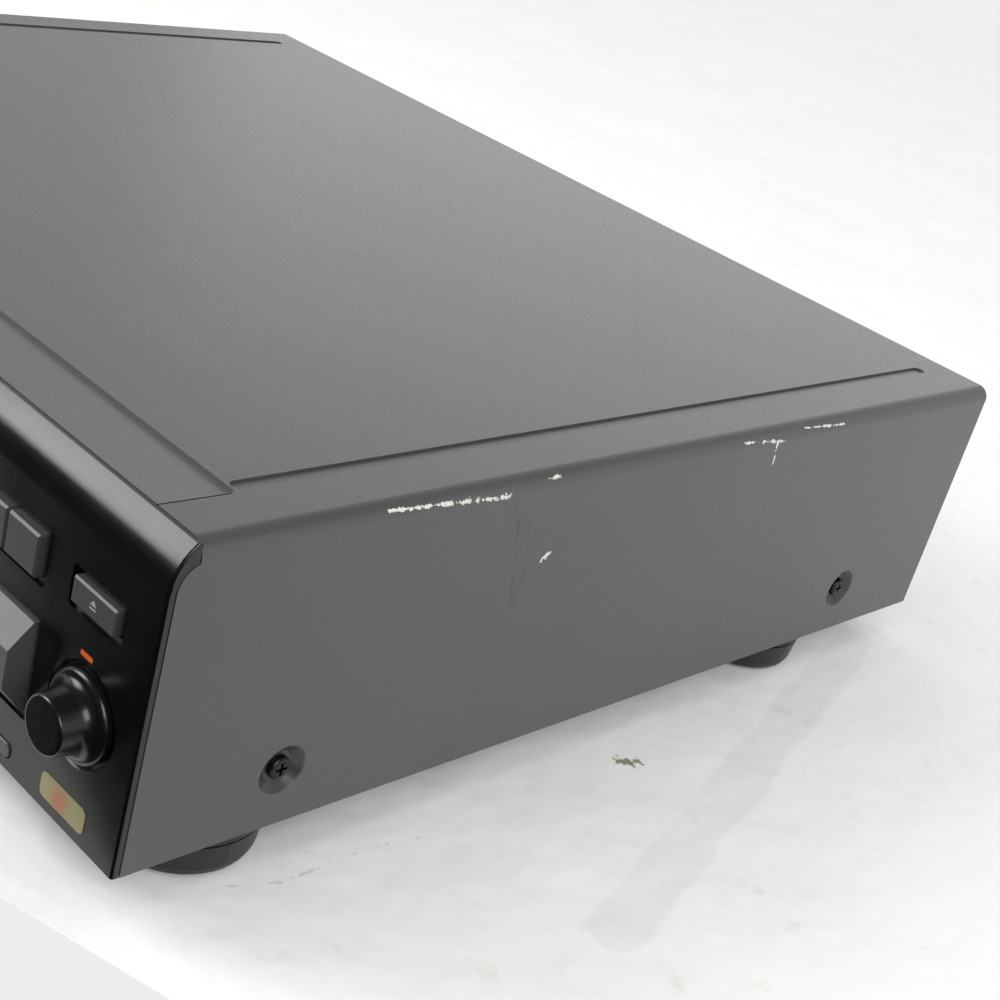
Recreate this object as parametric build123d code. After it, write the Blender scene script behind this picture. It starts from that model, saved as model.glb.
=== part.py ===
from build123d import *

# A front-loading compact disc changer: five discs lie on a carousel in a drawer, and an optical unit lifts
# under the rear one to play it. Millimetres. X runs to the right, Y to the back and Z up. The origin is on
# the floor, under the middle of the whole player, from the end of the jog knob to the line jacks.

import os
from math import acos, atan2, cos, degrees, hypot, pi, radians, sin, sqrt, tan

# ---------------------------------------------------------------- driving dimensions: case
cover_width = 430.0
cover_depth = 365.0
body_height = 92.0  # underside of the case to its roof
foot_height = 14.0
cover_sheet = 0.8
cover_bend = 4.5  # outer radius of the cover's two long folds
base_sheet = 1.2
rear_sheet = 1.0
knob_reach = 10.6  # the jog knob's end in front of the bezel's face
bezel_proud = 2.3  # the bezel's face in front of the cover
jack_reach = 7.0  # the line jacks' ends behind the cover

# gaps
run_gap = 0.05  # a shaft in its bore, on the radius
move_gap = 0.4  # between pieces that move past each other
seat_gap = 0.1  # between fixed pieces that don't touch

# cover details
groove_in = 21.0  # middle of the pressed groove, in from the side
groove_width = 4.3
groove_depth = 0.7
groove_start = 27.0  # behind the cover's front edge
groove_end = 349.0
slit_in = 18.5
slit_narrow = 0.5
slit_wide = 1.9
tongue_drop = 1.0  # how far the front strip of the roof dips at its rear line
lip_back = 5.0  # roof's front edge behind the sides' front edge
seam_arc = 7.7  # radius of the cut-away upper front corner of the sides
arc_start = 79.5  # height on the front where the bezel and the seam start to curve
dish_radius = 7.6
dish_floor = 4.6
dish_depth = 2.4
screw_height = 17.5
screw_front = 46.0
screw_rear = 308.0
screw_head = 3.4
screw_shank = 1.7
rear_flange = 10.0

# feet
foot_in = 24.0
foot_front = 36.0
foot_rear = 288.0
foot_radius = 23.0
foot_base_radius = 21.8
foot_lip = 2.6
pad_radius = 16.0
pad_rise = 0.6  # how far the pad stands below the foot's plastic

# bezel
bezel_wall = 2.5
bezel_base = 1.6  # thinner wall along its lower edge
bezel_corner = 0.8  # its soft outer edges
bezel_arc = 16.0
bezel_inset = 9.0  # how far its rim reaches in under the cover
pocket_depth = 1.5
pocket_floor = 2.0
pocket_margin = 2.0
key_gap = 0.4
key_travel = 1.5
board_back = 14.0  # front board behind the cover's front edge
board_thick = 1.6
switch_height = 4.6

# display
window_in = 65.0  # its left end from the left side
window_width = 190.0
window_low = 17.0
window_high = 45.0
window_thick = 1.8
window_rebate = 3.0

# drawer and carousel
disc_radius = 60.0
disc_thick = 1.2
well_gap = 0.4  # a disc in its well, on the radius
well_circle = 102.4  # well centres from the table's centre
well_depth = 4.0
well_count = 5
star_radius = 62.0  # the land over the hub
land_angle = 18.0  # half the angle that a land fills at the rim, the rest being finger room
lead_in = 0.6
table_web = 2.0
table_hub = 26.0
hub_boss = 15.0  # the tray's boss under the table's hub
axle_radius = 5.0
ring_module = 2.5
ring_height = 2.6
drive_teeth = 16
drawer_in = 177.0  # drawer's middle from the left side
drawer_sill = 51.5  # lower edge of the drawer's mouth above the underside
drawer_head = 87.4  # upper edge of the mouth
drawer_travel = 205.0
tray_wall = 2.0
tray_floor = 2.0
tray_gap = 1.2  # table to tray wall
runner_width = 2.0
runner_height = 2.4
mouth_gap = 1.5  # mouth beside the runners
front_gap = 0.5  # drawer front in the mouth
hang_height = 4.0  # rack and pulleys under the tray
window_half = 52.0  # half width of the tray's slot over the optical unit

# mechanism deck
deck_height = 36.0
deck_plate = 2.5
deck_front = 22.0
deck_back = 340.0
rail_wall = 2.5
leg_radius = 5.0
post_radius = 2.0

# loading drive
rack_in = 150.0  # rack's pitch line from the drawer's middle
rack_module = 1.5
load_teeth = 24
wheel_module = 1.25
wheel_teeth = 48
pinion_teeth = 16
load_gear_back = 52.0  # drive gear behind the cover's front edge
train_angle = 200.0  # direction from the drive gear to the pulley gear
load_pulley_radius = 14.0
motor_pulley_radius = 3.5
load_motor_span = 37.0  # pulley gear to motor
motor_radius = 12.0
belt_thick = 1.2
belt_height = 1.6

# optical unit, described in its raised, level position
unit_reach = 118.0  # pivot to spindle
unit_half = 46.0
unit_drop = 6.4  # degrees from playing down to rest
unit_plate = 2.5
unit_clear = 5.5  # deck's upper face under the table's web
seat_rise = 2.3  # disc lifted above the table's rim
pin_radius = 3.0
pivot_drop = 3.5  # pivot under the deck's lower face
spindle_radius = 1.0
platter_radius = 14.5
cone_height = 2.2
cone_radius = 7.3
lens_rest = 24.0  # lens from the spindle at rest
sled_travel = 35.0
sled_half = 21.0
rod_radius = 1.5
rod_in = 17.0
lens_radius = 2.4
lens_under_disc = 1.8
sled_module = 1.0
sled_gear_teeth = 20
sled_pinion_teeth = 12

# clamp
puck_radius = 15.0
puck_thick = 2.5
puck_neck = 10.0
bridge_thick = 2.0
bridge_half = 16.0

# rear sockets
jack_radius = 4.15
jack_pitch = 14.0
jack_hole = 1.6
socket_bore = 3.2
socket_length = 14.0

# ---------------------------------------------------------------- places worked out from them
half = cover_width / 2
window_left = window_in - half
window_right = window_left + window_width
overall_depth = knob_reach + bezel_proud + cover_depth + jack_reach
face_y = knob_reach - overall_depth / 2
cover_y = face_y + bezel_proud
back_y = cover_y + cover_depth
case_z = foot_height
roof_z = case_z + body_height
inner_half = half - cover_sheet  # inside of the cover's sides
base_half = inner_half - dish_depth - seat_gap
base_y = cover_y + bezel_inset + move_gap
rear_y = back_y - cover_sheet - seat_gap  # outer face of the rear panel

board_y = cover_y + board_back
switch_y = board_y - switch_height

well_radius = disc_radius + well_gap
table_radius = well_circle + well_radius
mid_x = drawer_in - half
tray_y = cover_y + bezel_inset - 5.5  # front of the tray's front wall
table_y = tray_y + tray_wall + tray_gap + table_radius
tray_back = table_y + table_radius + tray_gap + tray_wall
tray_half = table_radius + tray_gap + tray_wall
runner_half = tray_half + runner_width
play_y = table_y + well_circle

sill_z = case_z + drawer_sill
hang_z = sill_z + 1.0
tray_z = hang_z + hang_height
floor_z = tray_z + tray_floor
ring_z = floor_z + 1.0
well_z = ring_z + ring_height + 0.9
web_z = well_z - table_web
rim_z = well_z + well_depth
wall_z = rim_z + 2.0

deck_z = case_z + deck_height
deck_top = deck_z + deck_plate

disc_z = rim_z + seat_rise
puck_z = disc_z + disc_thick
bridge_z = puck_z + puck_thick + 0.5
unit_top = web_z - unit_clear
unit_z = unit_top - unit_plate
pivot_y = play_y - unit_reach
pivot_z = unit_z - pivot_drop


# ---------------------------------------------------------------- forms
def block(x0, x1, y0, y1, z0, z1):
    """A rectangular block between two corners."""
    return Pos((x0 + x1) / 2, (y0 + y1) / 2, (z0 + z1) / 2) * Box(x1 - x0, y1 - y0, z1 - z0)


def upright(x, y, z0, z1, radius):
    """A round post along Z."""
    return Pos(x, y, (z0 + z1) / 2) * Cylinder(radius, z1 - z0)


def along_y(x, z, y0, y1, radius):
    """A round bar along Y."""
    return Pos(x, (y0 + y1) / 2, z) * Rot(90, 0, 0) * Cylinder(radius, y1 - y0)


def along_x(y, z, x0, x1, radius):
    """A round bar along X."""
    return Pos((x0 + x1) / 2, y, z) * Rot(0, 90, 0) * Cylinder(radius, x1 - x0)


def plate_y(x0, x1, z0, z1, y0, y1, corner):
    """A plate facing the front, with rounded corners."""
    outline = RectangleRounded(x1 - x0, z1 - z0, corner)
    return extrude(Plane.XZ * Pos((x0 + x1) / 2, (z0 + z1) / 2) * outline, -(y1 - y0)).translate((0, y0, 0))


def plate_z(x0, x1, y0, y1, z0, z1, corner):
    """A flat plate with rounded corners."""
    outline = RectangleRounded(x1 - x0, y1 - y0, corner)
    return extrude(Pos((x0 + x1) / 2, (y0 + y1) / 2, z0) * outline, z1 - z0)


def side_prism(points, x0, x1):
    """A prism along X on an outline of (y, z) points."""
    face = make_face(Polyline(*[(0, y, z) for y, z in points], close=True))
    return extrude(face, x1 - x0, dir=(1, 0, 0)).translate((x0, 0, 0))


def gear_outline(module, teeth, turn, slack=0.22, steps=3):
    """Points round a spur gear with 20 degree flanks; a tooth's middle stands at turn degrees."""
    pitch = module * teeth / 2
    base = pitch * cos(radians(20))
    tip = pitch + 0.9 * module
    root = pitch - 1.15 * module
    half_tooth = pi / (2 * teeth) - slack / (2 * pitch)
    inv_pitch = tan(radians(20)) - radians(20)

    def half_angle(r):
        lean = acos(min(1.0, base / r))
        return half_tooth + inv_pitch - (tan(lean) - lean)

    radii = [root + (tip - root) * k / (steps - 1) for k in range(steps)]
    points = []
    for k in range(teeth):
        middle = radians(turn) + 2 * pi * k / teeth
        points += [(r, middle - half_angle(r)) for r in radii]
        points += [(r, middle + half_angle(r)) for r in reversed(radii)]
    return [(r * cos(a), r * sin(a)) for r, a in points]


def gear(module, teeth, x, y, z0, z1, turn, steps=3):
    """A spur gear standing on Z."""
    face = make_face(Polyline(*gear_outline(module, teeth, turn, steps=steps), close=True))
    return extrude(Pos(x, y, z0) * face, z1 - z0)


def meshed(turn, teeth, direction, other_teeth):
    """The turn of a gear that meshes with one at turn degrees, placed from it in that direction."""
    return direction + 180 - (turn - direction) * teeth / other_teeth - 180 / other_teeth


def rack(module, x_root, facing, y0, y1, z0, z1, x_back, y_gap):
    """A rack along Y. Its pitch line is at x_root, its teeth point to facing, and a gap stands at y_gap."""
    pitch = pi * module
    lean = tan(radians(20))
    high, low = 0.9 * module, 1.15 * module
    thick = pitch / 2 - 0.22
    first = int((y0 - y_gap) / pitch) - 1
    points = [(x_back, y0), (x_root - facing * low, y0)]
    for k in range(first, first + int((y1 - y0) / pitch) + 4):
        middle = y_gap + (k + 0.5) * pitch
        if middle - pitch / 2 < y0 or middle + pitch / 2 > y1:
            continue
        foot, top = thick / 2 + low * lean, thick / 2 - high * lean
        points += [
            (x_root - facing * low, middle - foot),
            (x_root + facing * high, middle - top),
            (x_root + facing * high, middle + top),
            (x_root - facing * low, middle + foot),
        ]
    points += [(x_root - facing * low, y1), (x_back, y1)]
    face = make_face(Polyline(*points, close=True))
    return extrude(Pos(0, 0, z0) * face, z1 - z0)


def loop_face(x1, y1, r1, x2, y2, r2):
    """The outline of a belt round two pulleys, filled in."""
    span = hypot(x2 - x1, y2 - y1)
    along = atan2(y2 - y1, x2 - x1)
    lean = acos((r1 - r2) / span)
    corners = [
        (x1 + r1 * cos(along + lean), y1 + r1 * sin(along + lean)),
        (x2 + r2 * cos(along + lean), y2 + r2 * sin(along + lean)),
        (x2 + r2 * cos(along - lean), y2 + r2 * sin(along - lean)),
        (x1 + r1 * cos(along - lean), y1 + r1 * sin(along - lean)),
    ]
    middle = make_face(Polyline(*corners, close=True))
    return middle + Pos(x1, y1) * Circle(r1) + Pos(x2, y2) * Circle(r2)


def belt(x1, y1, r1, x2, y2, r2, z):
    """A flat belt round two pulleys, clear of their grooves."""
    outside = loop_face(x1, y1, r1 + belt_gap + belt_thick, x2, y2, r2 + belt_gap + belt_thick)
    inside = loop_face(x1, y1, r1 + belt_gap, x2, y2, r2 + belt_gap)
    return extrude(Pos(0, 0, z) * (outside - inside), belt_height)


belt_gap = 0.15
flange_rise = 1.0  # pulley flanges beyond the belt
flange_thick = 0.5
pulley_height = belt_height + 2 * belt_gap + 2 * flange_thick


def pulley(x, y, z, groove):
    """A flanged pulley whose lower face is at z; groove is the radius under the belt."""
    flange = groove + belt_gap + belt_thick + flange_rise
    top = z + pulley_height
    return (
        upright(x, y, z, top, groove)
        + upright(x, y, z, z + flange_thick, flange)
        + upright(x, y, top - flange_thick, top, flange)
    )


def small_motor(x, y, z0, z1, radius):
    """A can motor with a bearing boss on its upper face."""
    can = upright(x, y, z0, z1, radius)
    can = fillet(can.edges().filter_by(GeomType.CIRCLE), 0.8)
    return can


# ---------------------------------------------------------------- the front's curved outline
def front_outline(wall, y_back, z0, z1):
    """The bezel's side outline, moved in by wall: a straight face that curves back at its top."""
    radius = bezel_arc - wall
    y_flat = face_y + wall
    z_arc = case_z + arc_start
    centre_y = y_flat + radius
    rise = z1 - z_arc
    end = (centre_y - sqrt(radius**2 - rise**2), z1)
    half_turn = radians(180) - acos(sqrt(radius**2 - rise**2) / radius) / 2
    middle = (centre_y + radius * cos(half_turn), z_arc + radius * sin(half_turn))
    line = Line((0, y_flat, z0), (0, y_flat, z_arc))
    arc = ThreePointArc((0, y_flat, z_arc), (0, *middle), (0, *end))
    back = Polyline((0, *end), (0, y_back, z1), (0, y_back, z0), (0, y_flat, z0))
    return make_face(Curve() + [line, arc, back])


def front_solid(x0, x1, wall, y_back, z0, z1):
    """A solid behind that outline, from x0 to x1."""
    return extrude(front_outline(wall, y_back, z0, z1), x1 - x0, dir=(1, 0, 0)).translate((x0, 0, 0))


def seam_space(gap, y_back, z0, z1):
    """The space that the cover's edge fills, grown forwards by gap, as a prism over the whole width."""
    z_arc = case_z + arc_start
    y_flat = cover_y - gap
    radius = seam_arc
    rise = sqrt(radius**2 - (radius - lip_back) ** 2)
    end = (y_flat + lip_back, z_arc + rise)
    turn = acos((radius - lip_back) / radius) / 2
    middle = (y_flat + radius * (1 - cos(turn)), z_arc + radius * sin(turn))
    line = Line((0, y_flat, z0), (0, y_flat, z_arc))
    arc = ThreePointArc((0, y_flat, z_arc), (0, *middle), (0, *end))
    back = Polyline((0, *end), (0, end[0], z1), (0, y_back, z1), (0, y_back, z0), (0, y_flat, z0))
    face = make_face(Curve() + [line, arc, back])
    return extrude(face, cover_width + 20, dir=(1, 0, 0)).translate((-half - 10, 0, 0))


# ---------------------------------------------------------------- keys on the front
class Key:
    """One key's place on the front: its middle, size and how far it stands out."""

    def __init__(self, x, z, width, height, proud, pocket=True, corner=0.6, shape="flat"):
        self.x, self.z = x, case_z + z
        self.width, self.height = width, height
        self.proud, self.corner, self.shape = proud, corner, shape
        self.floor = face_y + (pocket_depth if pocket else 0)  # front of the panel round the key
        self.back = self.floor + (pocket_floor if pocket else bezel_wall)

    def outline(self, grow):
        """Left, right, low and high edges, grown on each side."""
        return (
            self.x - self.width / 2 - grow,
            self.x + self.width / 2 + grow,
            self.z - self.height / 2 - grow,
            self.z + self.height / 2 + grow,
        )


def key_row(names, right, z, width, height, pitch, **more):
    """Keys side by side, the last one ending at right."""
    count = len(names)
    first = right - width / 2 - pitch * (count - 1)
    return {name: Key(first + k * pitch, z, width, height, **more) for k, name in enumerate(names)}


skip_keys = key_row(["exchange_key", "disc_skip_key"], half - 47.4, 63.5, 14.1, 11.8, 14.6, proud=1.9)
open_keys = key_row(["open_close_key"], half - 14.8, 63.5, 18.3, 7.2, 20.0, proud=1.1)
wedge_keys = key_row(
    ["play_key", "pause_key", "stop_key"],
    half - 46.0, 32.7, 34.0, 26.0, 34.5, proud=6.8, corner=0.1, shape="wedge",
)
disc_keys = key_row(
    ["disc_key_1", "disc_key_2", "disc_key_3", "disc_key_4", "disc_key_5"],
    window_right - 48.0, 8.0, 24.0, 6.4, 29.0, proud=1.2, pocket=False,
)
lower_keys = key_row(
    ["program_key", "repeat_key", "time_key"],
    half - 47.6, 5.6, 11.6, 4.2, 25.0, proud=0.5, pocket=False, corner=2.0,
)
power_keys = key_row(["power_button"], -half + 45.0, 35.0, 28.0, 12.0, 30.0, proud=2.4, corner=1.5)
key_groups = [skip_keys, open_keys, wedge_keys, disc_keys, lower_keys, power_keys]
all_keys = {name: key for group in key_groups for name, key in group.items()}

knob_x = half - 22.8
knob_z = case_z + 33.3
dish_r = 14.3
level_x = -half + 47.0
socket_x = -half + 23.0
low_row_z = case_z + 13.0
flange_thick_key = 0.8
stem_radius = 1.6


def group_edges(group, grow):
    """The outline round a whole group of keys."""
    edges = [key.outline(grow) for key in group.values()]
    return (
        min(e[0] for e in edges),
        max(e[1] for e in edges),
        min(e[2] for e in edges),
        max(e[3] for e in edges),
    )


def key_solid(key):
    """A key's cap, its retaining flange behind the panel and its stem towards the switch."""
    x0, x1, z0, z1 = key.outline(0)
    front = face_y - key.proud
    flange_y = key.back + 0.3
    stem_end = switch_y - key_travel - 0.3
    if key.shape == "wedge":
        shoulder = face_y - 0.4
        nose = [(shoulder, z0), (front, z0 + 8.3), (front, z1 - 6.7), (shoulder, z1)]
        cap = side_prism([(flange_y, z0), *nose, (flange_y, z1)], x0, x1)
    else:
        cap = plate_y(x0, x1, z0, z1, front, flange_y, key.corner)
        rim = cap.faces().sort_by(Axis.Y)[0].edges()
        cap = chamfer(rim, min(0.6, key.proud * 0.45))
    flange = block(x0, x1, flange_y, flange_y + flange_thick_key, z0 - 1.0, z1 + 1.0)
    stem = along_y(key.x, key.z, flange_y + flange_thick_key, stem_end, stem_radius)
    return cap + flange + stem


# ---------------------------------------------------------------- case
def top_cover():
    outer = block(-half, half, cover_y, back_y, case_z, roof_z)
    outer = fillet(outer.edges().filter_by(Axis.Y).group_by(Axis.Z)[-1], cover_bend)
    inner = block(-inner_half, inner_half, cover_y - 1, back_y + 1, case_z - 1, roof_z - cover_sheet)
    inner = fillet(inner.edges().filter_by(Axis.Y).group_by(Axis.Z)[-1], cover_bend - cover_sheet)
    cover = outer - inner
    flange_half = inner_half - cover_bend
    flange = (back_y - cover_sheet, back_y, roof_z - rear_flange, roof_z - cover_sheet / 2)
    cover += block(-flange_half, flange_half, *flange)
    # the front strip of the roof between the slits dips towards its rear line
    strip_half = half - slit_in
    front, rear = cover_y + lip_back, cover_y + groove_start
    under = roof_z - cover_sheet
    cover += side_prism(
        [
            (front, under + 0.1),
            (rear + cover_sheet, under + 0.1),
            (rear + cover_sheet, under - tongue_drop),
            (rear, under - tongue_drop),
            (front, under),
        ],
        -strip_half,
        strip_half,
    )
    dip = [(front, roof_z), (rear, roof_z), (rear, roof_z - tongue_drop)]
    cover -= side_prism(dip, -strip_half, strip_half)
    for side in (-1, 1):
        groove_x = side * (half - groove_in)
        x0, x1 = groove_x - groove_width / 2, groove_x + groove_width / 2
        y0, y1 = cover_y + groove_start + 0.8, cover_y + groove_end
        rib = plate_z(x0 - 0.7, x1 + 0.7, y0 - 0.7, y1 + 0.7, under - groove_depth, under + 0.1, 2.0)
        channel = plate_z(x0, x1, y0, y1, roof_z - groove_depth, roof_z + 1, 2.0)
        cover = cover + rib - channel
        slit_x = side * strip_half
        slit = Polyline(
            (slit_x - slit_narrow / 2, front - 1),
            (slit_x + slit_narrow / 2, front - 1),
            (slit_x + slit_wide / 2, rear - 1.3),
            (slit_x - slit_wide / 2, rear - 1.3),
            close=True,
        )
        cover -= extrude(Pos(0, 0, under - 2) * make_face(slit), cover_sheet + 4)
        for y in (cover_y + screw_front, cover_y + screw_rear):
            cover = dished(cover, side, y, case_z + screw_height)
    for x in rear_screw_xs:
        cover -= along_y(x, rear_screw_z, back_y - 2, back_y + 1, screw_shank + 0.2)
    # the upper front corners are cut back along the bezel's curve
    cover &= seam_space(0, back_y + 5, case_z - 5, roof_z + 5)
    return cover


def dished(cover, side, y, z):
    """Presses a conical dish for a screw into one side of the cover."""
    turn = Rot(0, -90 * side, 0)
    plug = Cone(dish_radius, dish_floor, dish_depth + cover_sheet)
    cut = Cone(dish_radius, dish_floor, dish_depth)
    inside = Pos(side * (half - (dish_depth + cover_sheet) / 2), y, z) * turn * plug
    hollow = Pos(side * (half - dish_depth / 2), y, z) * turn * cut
    hole = along_x(y, z, *sorted((side * (half - dish_depth - 2), side * half)), screw_shank + 0.2)
    return cover + inside - hollow - hole


def screw(head_centre, toward):
    """A pan-head screw: its head stands at head_centre and its shank points along toward."""
    head = Cylinder(screw_head, 2.0)
    head = fillet(head.edges().sort_by(Axis.Z)[-1], 1.2)
    head -= Pos(0, 0, 0.7) * (Box(3.8, 0.9, 1.4) + Box(0.9, 3.8, 1.4))
    shank = Pos(0, 0, -4.0) * Cylinder(screw_shank, 6.0)
    plane = Plane(origin=head_centre, z_dir=[-v for v in toward])
    return plane * (head + shank)


def cover_screws():
    screws = []
    for side in (-1, 1):
        for y in (cover_y + screw_front, cover_y + screw_rear):
            x = side * (half - dish_depth + 1.0)
            screws.append(screw((x, y, case_z + screw_height), (-side, 0, 0)))
    for x in rear_screw_xs:
        screws.append(screw((x, back_y + 1.0, rear_screw_z), (0, -1, 0)))
    return Compound(screws)


rear_screw_xs = (-half + 30.0, 0.0, half - 30.0)
rear_screw_z = roof_z - rear_flange / 2


def chassis_base():
    base = block(-base_half, base_half, base_y, rear_y - rear_sheet - seat_gap, case_z, case_z + base_sheet)
    y0, y1 = base_y, rear_y - rear_sheet - seat_gap
    for side in (-1, 1):
        edge = sorted((side * base_half, side * (base_half - base_sheet)))
        base += block(*edge, y0, y1, case_z, case_z + 26)
        for y in (cover_y + screw_front, cover_y + screw_rear):
            reach = sorted((side * (base_half - 3), side * (base_half + 1)))
            base -= along_x(y, case_z + screw_height, *reach, screw_shank)
    lip_y = board_y + board_thick + 1.0
    base += block(-base_half, base_half, lip_y, lip_y + base_sheet, case_z, case_z + 10)
    for x, y in board_posts():
        base += upright(x, y, case_z + base_sheet, board_z, 3.0)
    # louvres under the boards, and stiffening ribs
    for k in range(9):
        x = base_half - 60 - k * 9
        base -= block(x, x + 3, cover_y + 200, cover_y + 250, case_z - 1, case_z + 3)
    for y in (cover_y + 75, cover_y + 325):
        base += block(-half + 65, mid_x + 48, y - 5, y + 5, case_z + base_sheet, case_z + base_sheet + 1.5)
    return base


board_z = case_z + 9.0
board_x0, board_x1 = half - 191.0, half - 9.0
board_y0, board_y1 = 85.0, 322.0


def board_posts():
    """Where the main board stands on the chassis."""
    xs = (board_x0 + 8, board_x1 - 8)
    ys = (cover_y + board_y0 + 8, cover_y + board_y1 - 8)
    return [(x, y) for x in xs for y in ys]


def main_board():
    board = block(board_x0, board_x1, cover_y + board_y0, cover_y + board_y1, board_z, board_z + board_thick)
    for x, y in board_posts():
        board -= upright(x, y, board_z - 1, board_z + 3, 1.6)
    return board


def board_parts():
    top = board_z + board_thick
    parts = []
    for k in range(3):
        can = upright(board_x1 - 18, cover_y + board_y1 - 30 - k * 24, top, top + 20, 8.0)
        parts.append(fillet(can.edges().sort_by(Axis.Z)[-1], 0.8))
    for across, y, w, d in ((36, 250, 24, 24), (36, 190, 18, 18), (86, 230, 30, 12), (126, 150, 12, 28)):
        x = board_x0 + across
        parts.append(block(x, x + w, cover_y + y, cover_y + y + d, top, top + 3))
    sink_x, sink_y = board_x0 + 96, cover_y + 285
    sink = block(sink_x, sink_x + 40, sink_y, sink_y + 3, top, top + 22)
    for k in range(6):
        fin_x = sink_x + 1 + k * 7
        sink += block(fin_x, fin_x + 1.5, sink_y + 3, sink_y + 15, top, top + 22)
    parts.append(sink)
    for k in range(3):
        x = board_x0 + 16 + k * 40
        parts.append(block(x, x + 22, cover_y + 90, cover_y + 96, top, top + 8))
    return Compound(parts)


def rear_panel():
    y0, y1 = rear_y - rear_sheet, rear_y
    edge = inner_half - seat_gap
    z0, z1 = case_z, roof_z - cover_sheet - seat_gap
    panel = block(-edge, edge, y0, y1, z0, z1)
    panel = fillet(panel.edges().filter_by(Axis.Y).group_by(Axis.Z)[-1], cover_bend)
    panel += block(-edge + 6, edge - 6, y0 - 7, y0, z1 - rear_sheet, z1)
    for x, z in jack_places():
        panel -= along_y(x, z, y0 - 1, y1 + 1, jack_radius + 1.2)
    panel -= plate_y(optical_x - 5, optical_x + 5, optical_z - 5, optical_z + 5, y0 - 1, y1 + 1, 1.0)
    panel -= plate_y(gland_x - 6.5, gland_x + 6.5, gland_z - 5, gland_z + 5, y0 - 1, y1 + 1, 4.5)
    for x in rear_screw_xs:
        panel -= along_y(x, rear_screw_z, y0 - 1, y1 + 1, screw_shank)
    for k in range(12):
        x = -60 + k * 10
        panel -= plate_y(x, x + 4, case_z + 52, case_z + 76, y0 - 1, y1 + 1, 1.9)
    return panel


gland_x, gland_z = -half + 35.0, case_z + 22.0
optical_x, optical_z = half - 85.0, case_z + 24.0
jack_x, jack_z = half - 45.0, case_z + 24.0


def jack_places():
    """The two line jacks, one above the other."""
    return [(jack_x, jack_z + k * jack_pitch) for k in (0, 1)]


def rear_sockets():
    """The two line jacks in their block, and the optical output beside them."""
    return Compound([line_out_jacks(), optical_output()])


def line_out_jacks():
    """A moulded block behind the panel with two round jacks through it."""
    low, high = jack_z - 9, jack_z + jack_pitch + 9
    y0 = rear_y - rear_sheet - seat_gap
    jacks = plate_y(jack_x - 9, jack_x + 9, low, high, y0 - 12, y0, 1.5)
    end = back_y + jack_reach
    for x, z in jack_places():
        jacks += along_y(x, z, y0 - 1, end, jack_radius)
        jacks -= along_y(x, z, end - 7, end + 1, jack_hole)
    return jacks


def optical_output():
    """A square digital output with its shutter closed."""
    y0 = rear_y - rear_sheet - seat_gap

    def square(reach, y_front, y_rear, corner):
        across = (optical_x - reach, optical_x + reach, optical_z - reach, optical_z + reach)
        return plate_y(*across, y_front, y_rear, corner)

    body = square(6.5, y0 - 12, y0, 1.0) + square(4.7, y0 - 1, back_y + 2.0, 0.8)
    return body - square(3.2, back_y + 0.8, back_y + 3, 0.6)


def cord_bushing():
    """The strain relief gland in the rear panel, with its flat hole for the cord."""
    y0, y1 = rear_y - rear_sheet, rear_y
    gland = plate_y(gland_x - 6.3, gland_x + 6.3, gland_z - 4.8, gland_z + 4.8, y0 - 6, y1 + 1, 4.3)
    gland += plate_y(gland_x - 8.5, gland_x + 8.5, gland_z - 7, gland_z + 7, y1 + seat_gap, y1 + 4, 6.0)
    gland -= plate_y(gland_x - 3.2, gland_x + 3.2, gland_z - 1.8, gland_z + 1.8, y0 - 7, y1 + 5, 1.7)
    return gland


def foot_places():
    """The four feet's centres."""
    xs = (-half + foot_in, half - foot_in)
    return [(x, cover_y + y) for x in xs for y in (foot_front, foot_rear)]


def feet():
    """Round moulded feet, each a lip over a tapered drum with a recess for its pad."""
    profile = Polyline(
        (0, pad_rise),
        (foot_base_radius - 2.5, pad_rise),
        (foot_base_radius - 0.8, pad_rise + 0.6),
        (foot_base_radius, pad_rise + 2.4),
        (foot_radius - 0.3, foot_height - foot_lip - 0.8),
        (foot_radius - 1.6, foot_height - foot_lip - 0.6),
        (foot_radius - 1.6, foot_height - foot_lip),
        (foot_radius, foot_height - foot_lip),
        (foot_radius, foot_height),
        (0, foot_height),
        close=True,
    )
    drum = revolve(make_face(Plane.XZ * profile), Axis.Z)
    drum -= upright(0, 0, -1, pad_rise + 1.5, pad_radius + seat_gap)
    return Compound([Pos(x, y, 0) * drum for x, y in foot_places()])


def foot_pads():
    pad = upright(0, 0, 0, pad_rise + 1.5, pad_radius)
    pad = chamfer(pad.edges().sort_by(Axis.Z)[0], 0.4)
    return Compound([Pos(x, y, 0) * pad for x, y in foot_places()])


# ---------------------------------------------------------------- front
mouth_x0 = mid_x - runner_half - mouth_gap
mouth_x1 = mid_x + runner_half + mouth_gap
mouth_z0 = sill_z
mouth_z1 = case_z + drawer_head


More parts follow.
